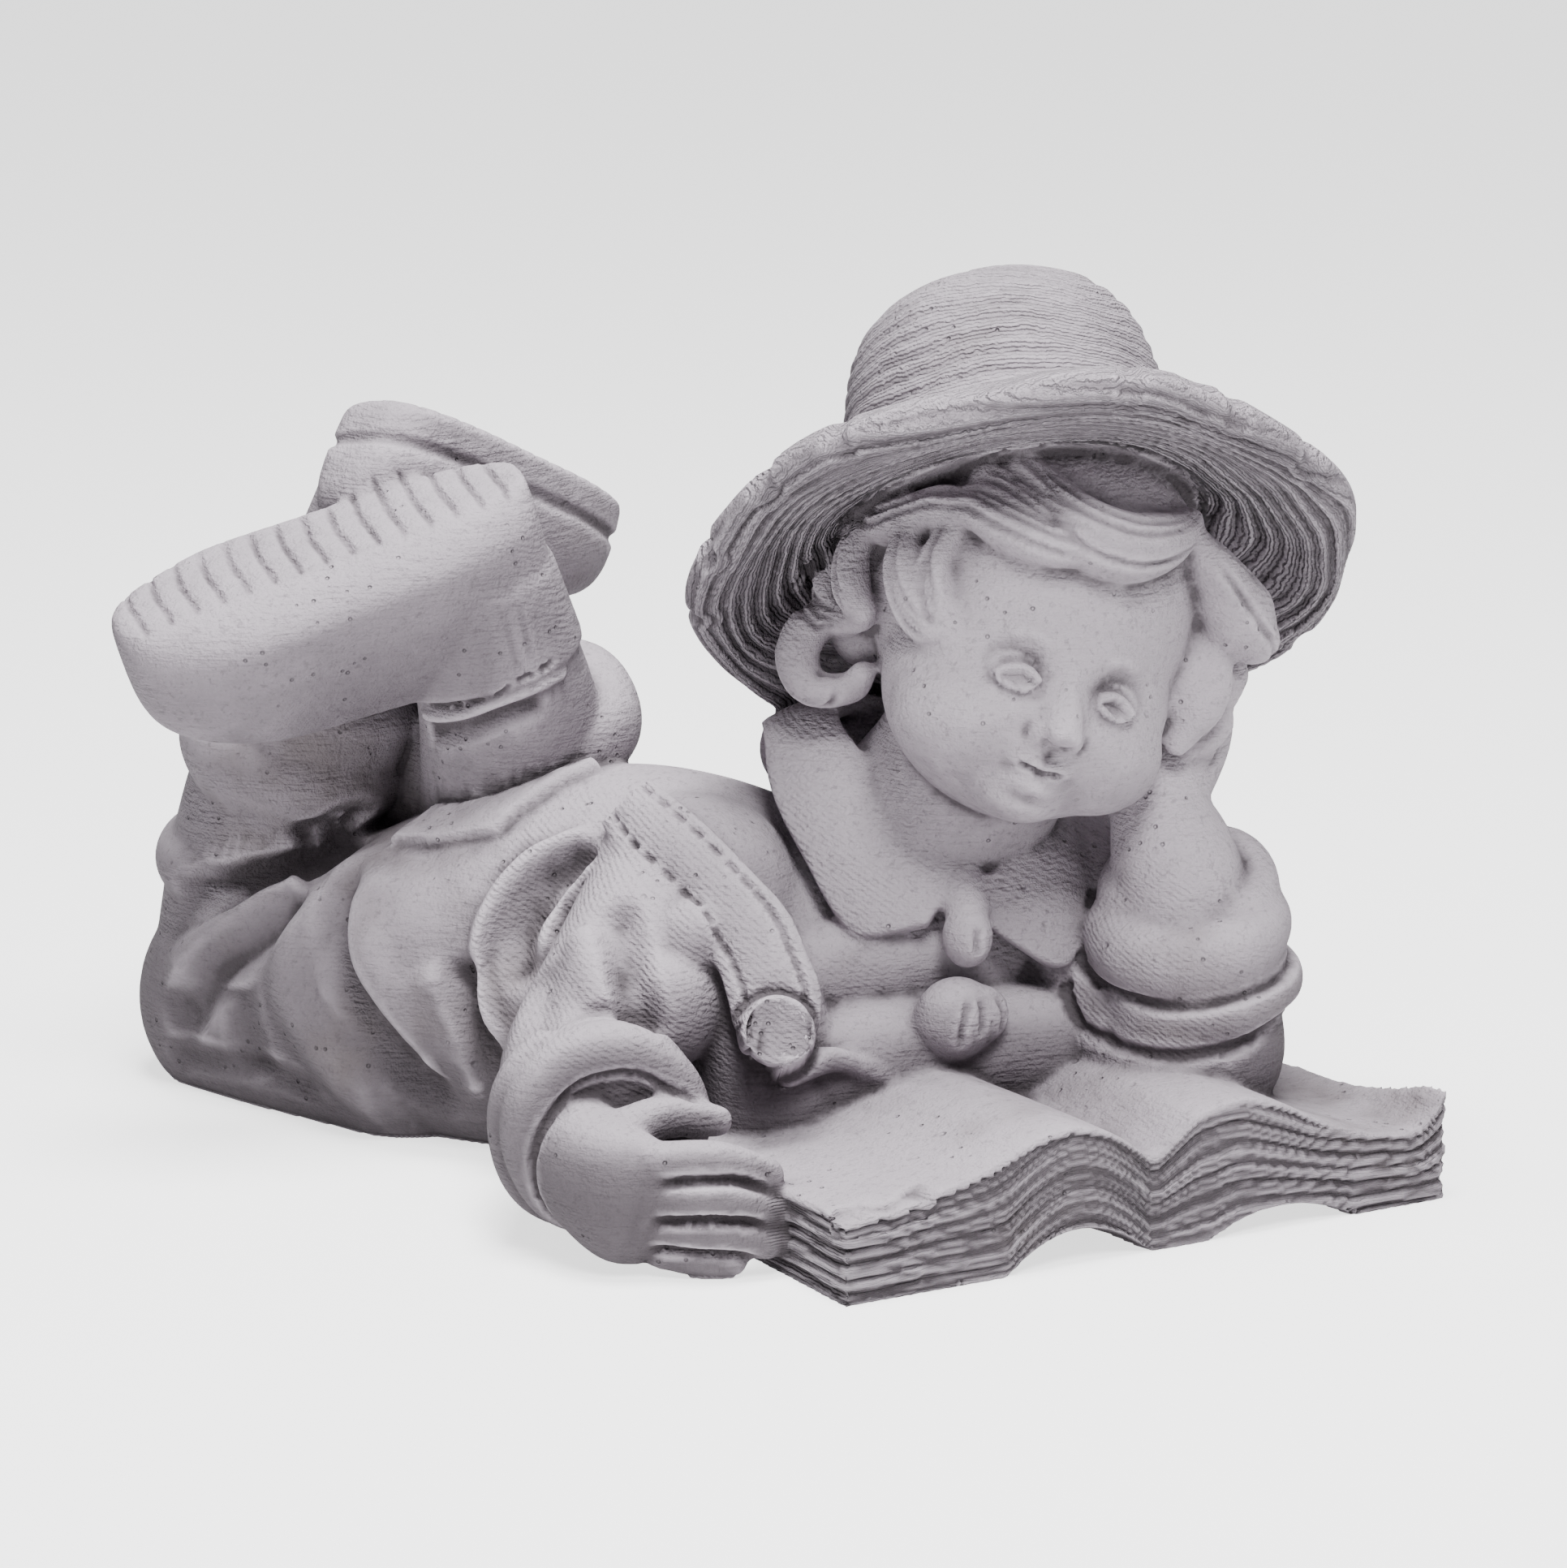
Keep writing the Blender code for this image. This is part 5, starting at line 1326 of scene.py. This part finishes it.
def stoneColour(shader, source, patchy):
    # broad clouds, pale and dark places (with painted light on faces that look up), stains and specks, then
    # dirt and painted shade in the creases, painted shade under faces that look down, and pale edges
    s = stoneSettings
    clouds = shader.mapped(shader.noise(source, s["clouds"]), 0.35, 0.65)
    stains = shader.mapped(shader.noise(source, s["stains"]), 0.56, 0.74)
    specks = shader.maths("SUBTRACT", 1.0, shader.mapped(shader.noise(source, s["specks"]), 0.30, 0.46))
    # painted shade on faces that look down, added to the creases' dirt and painted shade
    shade = shader.maths("MULTIPLY", shader.fact("under"), 0.55)
    dirtAndShade = shader.maths("ADD", shader.maths("MULTIPLY", shader.fact("dirtAndShade"), 1.9), shade)
    dirtAndShade = shader.maths("MINIMUM", shader.maths("MULTIPLY", dirtAndShade, patchy), 0.85)
    layers = (
        (shader.fact("paleRoundFace"), 0.66, "paleColour"),
        # painted light: faces that look up are made paler
        (shader.fact("paintedTopLight"), 0.7, "paleColour"),
        (shader.fact("low"), 0.82, "lowColour"),
        (stains, 0.6, "stainColour"),
        (specks, 0.3, "dirtAndShadeColour"),
        # dirt and painted shade: the creases, and faces that look down
        (dirtAndShade, 1.0, "dirtAndShadeColour"),
        (shader.fact("edge"), 0.75, "paleColour"),
    )
    colour = shader.mixed(clouds, s["colour"], s["midColour"])
    for layer, strength, name in layers:
        colour = shader.mixed(shader.maths("MULTIPLY", layer, strength), colour, s[name])
    return colour


def stoneRelief(shader, source, patchy):
    # sand grain, brush marks, lumps, blow holes, wear, thread, pits, straw fibres and page edges
    s = stoneSettings
    flat = shader.add("ShaderNodeMapping")
    shader.feed(flat, {"Vector": source, "Scale": s["brushedStretch"], "Rotation": s["brushedTurn"]})
    worn = shader.noise(source, s["worn"])
    layers = (
        (shader.noise(source, s["grain"]), 0.5),
        (shader.noise(flat.outputs["Vector"], s["brushed"]), 0.75),
        (shader.noise(source, s["lumps"]), 1.1),
        (shader.dents(source, *s["holes"]), -0.9),
        (worn, 1.0),
        (shader.maths("MULTIPLY", shader.lines(worn, *s["thread"]), patchy), 0.11),
        (shader.dents(source, *s["pits"]), -1.6),
        (shader.lines(worn, *s["straw"]), 0.5),
        (shader.lines(worn, *s["pages"]), 0.25),
    )
    relief = 0.0
    for layer, height in layers:
        relief = shader.maths("ADD", relief, shader.maths("MULTIPLY", layer, height))
    return relief


def newMaterial(name):
    made = bpy.data.materials.new(name)
    made.use_nodes = True
    return made, Shader(made.node_tree), made.node_tree.nodes["Principled BSDF"]


def makeStone():
    s = stoneSettings
    stone, shader, finish = newMaterial("cast stone")
    source = shader.add("ShaderNodeTexCoord").outputs["Object"]
    patchy = shader.mapped(shader.noise(source, s["patches"]), 0.1, 0.75)
    relief = shader.add("ShaderNodeBump")
    height = stoneRelief(shader, source, patchy)
    shader.feed(relief, {"Height": height, "Strength": 1.0, "Distance": s["reliefDepth"]})
    shader.feed(finish, {
        "Base Color": stoneColour(shader, source, patchy),
        "Roughness": s["roughness"],
        "Specular IOR Level": s["gloss"],
        "Normal": relief.outputs["Normal"],
    })
    return stone


boy.data.materials.clear()
boy.data.materials.append(makeStone())
print("made the stone")


# Floor, lights and camera, in metres

studio = {
    "floorSize": 8,
    "floorColour": (0.97, 0.97, 0.975, 1),
    "floorGlow": 0.3,
    "whiteGlow": 1.4,  # added for the camera alone
    "worldColour": (0.97, 0.97, 1.0, 1),
    "worldStrength": 0.17,
    # place, size and power of each light
    "lights": {
        "key": ((-0.65, -1.0, 1.7), 0.6, 40.0),
        "fill": ((-1.7, -0.9, 0.8), 1.2, 0.5),
        "top": ((-0.1, -0.1, 2.0), 0.8, 58.0),
    },
    "aim": np.array((0.0, 0.0, 0.135)),
    "distance": 1.750,
    "drop": math.radians(13),
    "lens": 133.8,
    "sensor": 36,
}


def makePaper():
    paper, shader, finish = newMaterial("paper")
    seen = shader.add("ShaderNodeLightPath").outputs["Is Camera Ray"]
    glow = shader.maths("ADD", shader.maths("MULTIPLY", seen, studio["whiteGlow"]), studio["floorGlow"])
    shader.feed(finish, {
        "Base Color": studio["floorColour"],
        "Roughness": 0.9,
        "Emission Color": (1, 1, 1, 1),
        "Emission Strength": glow,
    })
    return paper


def addLight(name, place, size, power):
    bpy.ops.object.light_add(type="AREA", location=place)
    light = bpy.context.object
    light.name = name
    light.data.size = size
    light.data.energy = power
    way = Vector(studio["aim"]) - Vector(place)
    light.rotation_euler = way.to_track_quat("-Z", "Y").to_euler()


bpy.ops.mesh.primitive_plane_add(size=studio["floorSize"], location=(0, 0, 0))
floor = bpy.context.object
floor.name = "floor"
floor.data.materials.append(makePaper())

world = bpy.context.scene.world or bpy.data.worlds.new("studio")
bpy.context.scene.world = world
world.use_nodes = True
world.node_tree.nodes["Background"].inputs["Color"].default_value = studio["worldColour"]
world.node_tree.nodes["Background"].inputs["Strength"].default_value = studio["worldStrength"]
for name, light in studio["lights"].items():
    addLight(name, *light)

forward = np.array((math.sqrt(0.5), math.sqrt(0.5), 0)) * math.cos(studio["drop"])
forward = forward - np.array((0, 0, math.sin(studio["drop"])))
bpy.ops.object.camera_add(location=studio["aim"] - forward * studio["distance"])
camera = bpy.context.object
camera.rotation_euler = Vector(forward).to_track_quat("-Z", "Y").to_euler()
camera.data.lens = studio["lens"]
camera.data.sensor_width = studio["sensor"]
bpy.context.scene.camera = camera
print("set floor, lights and camera")
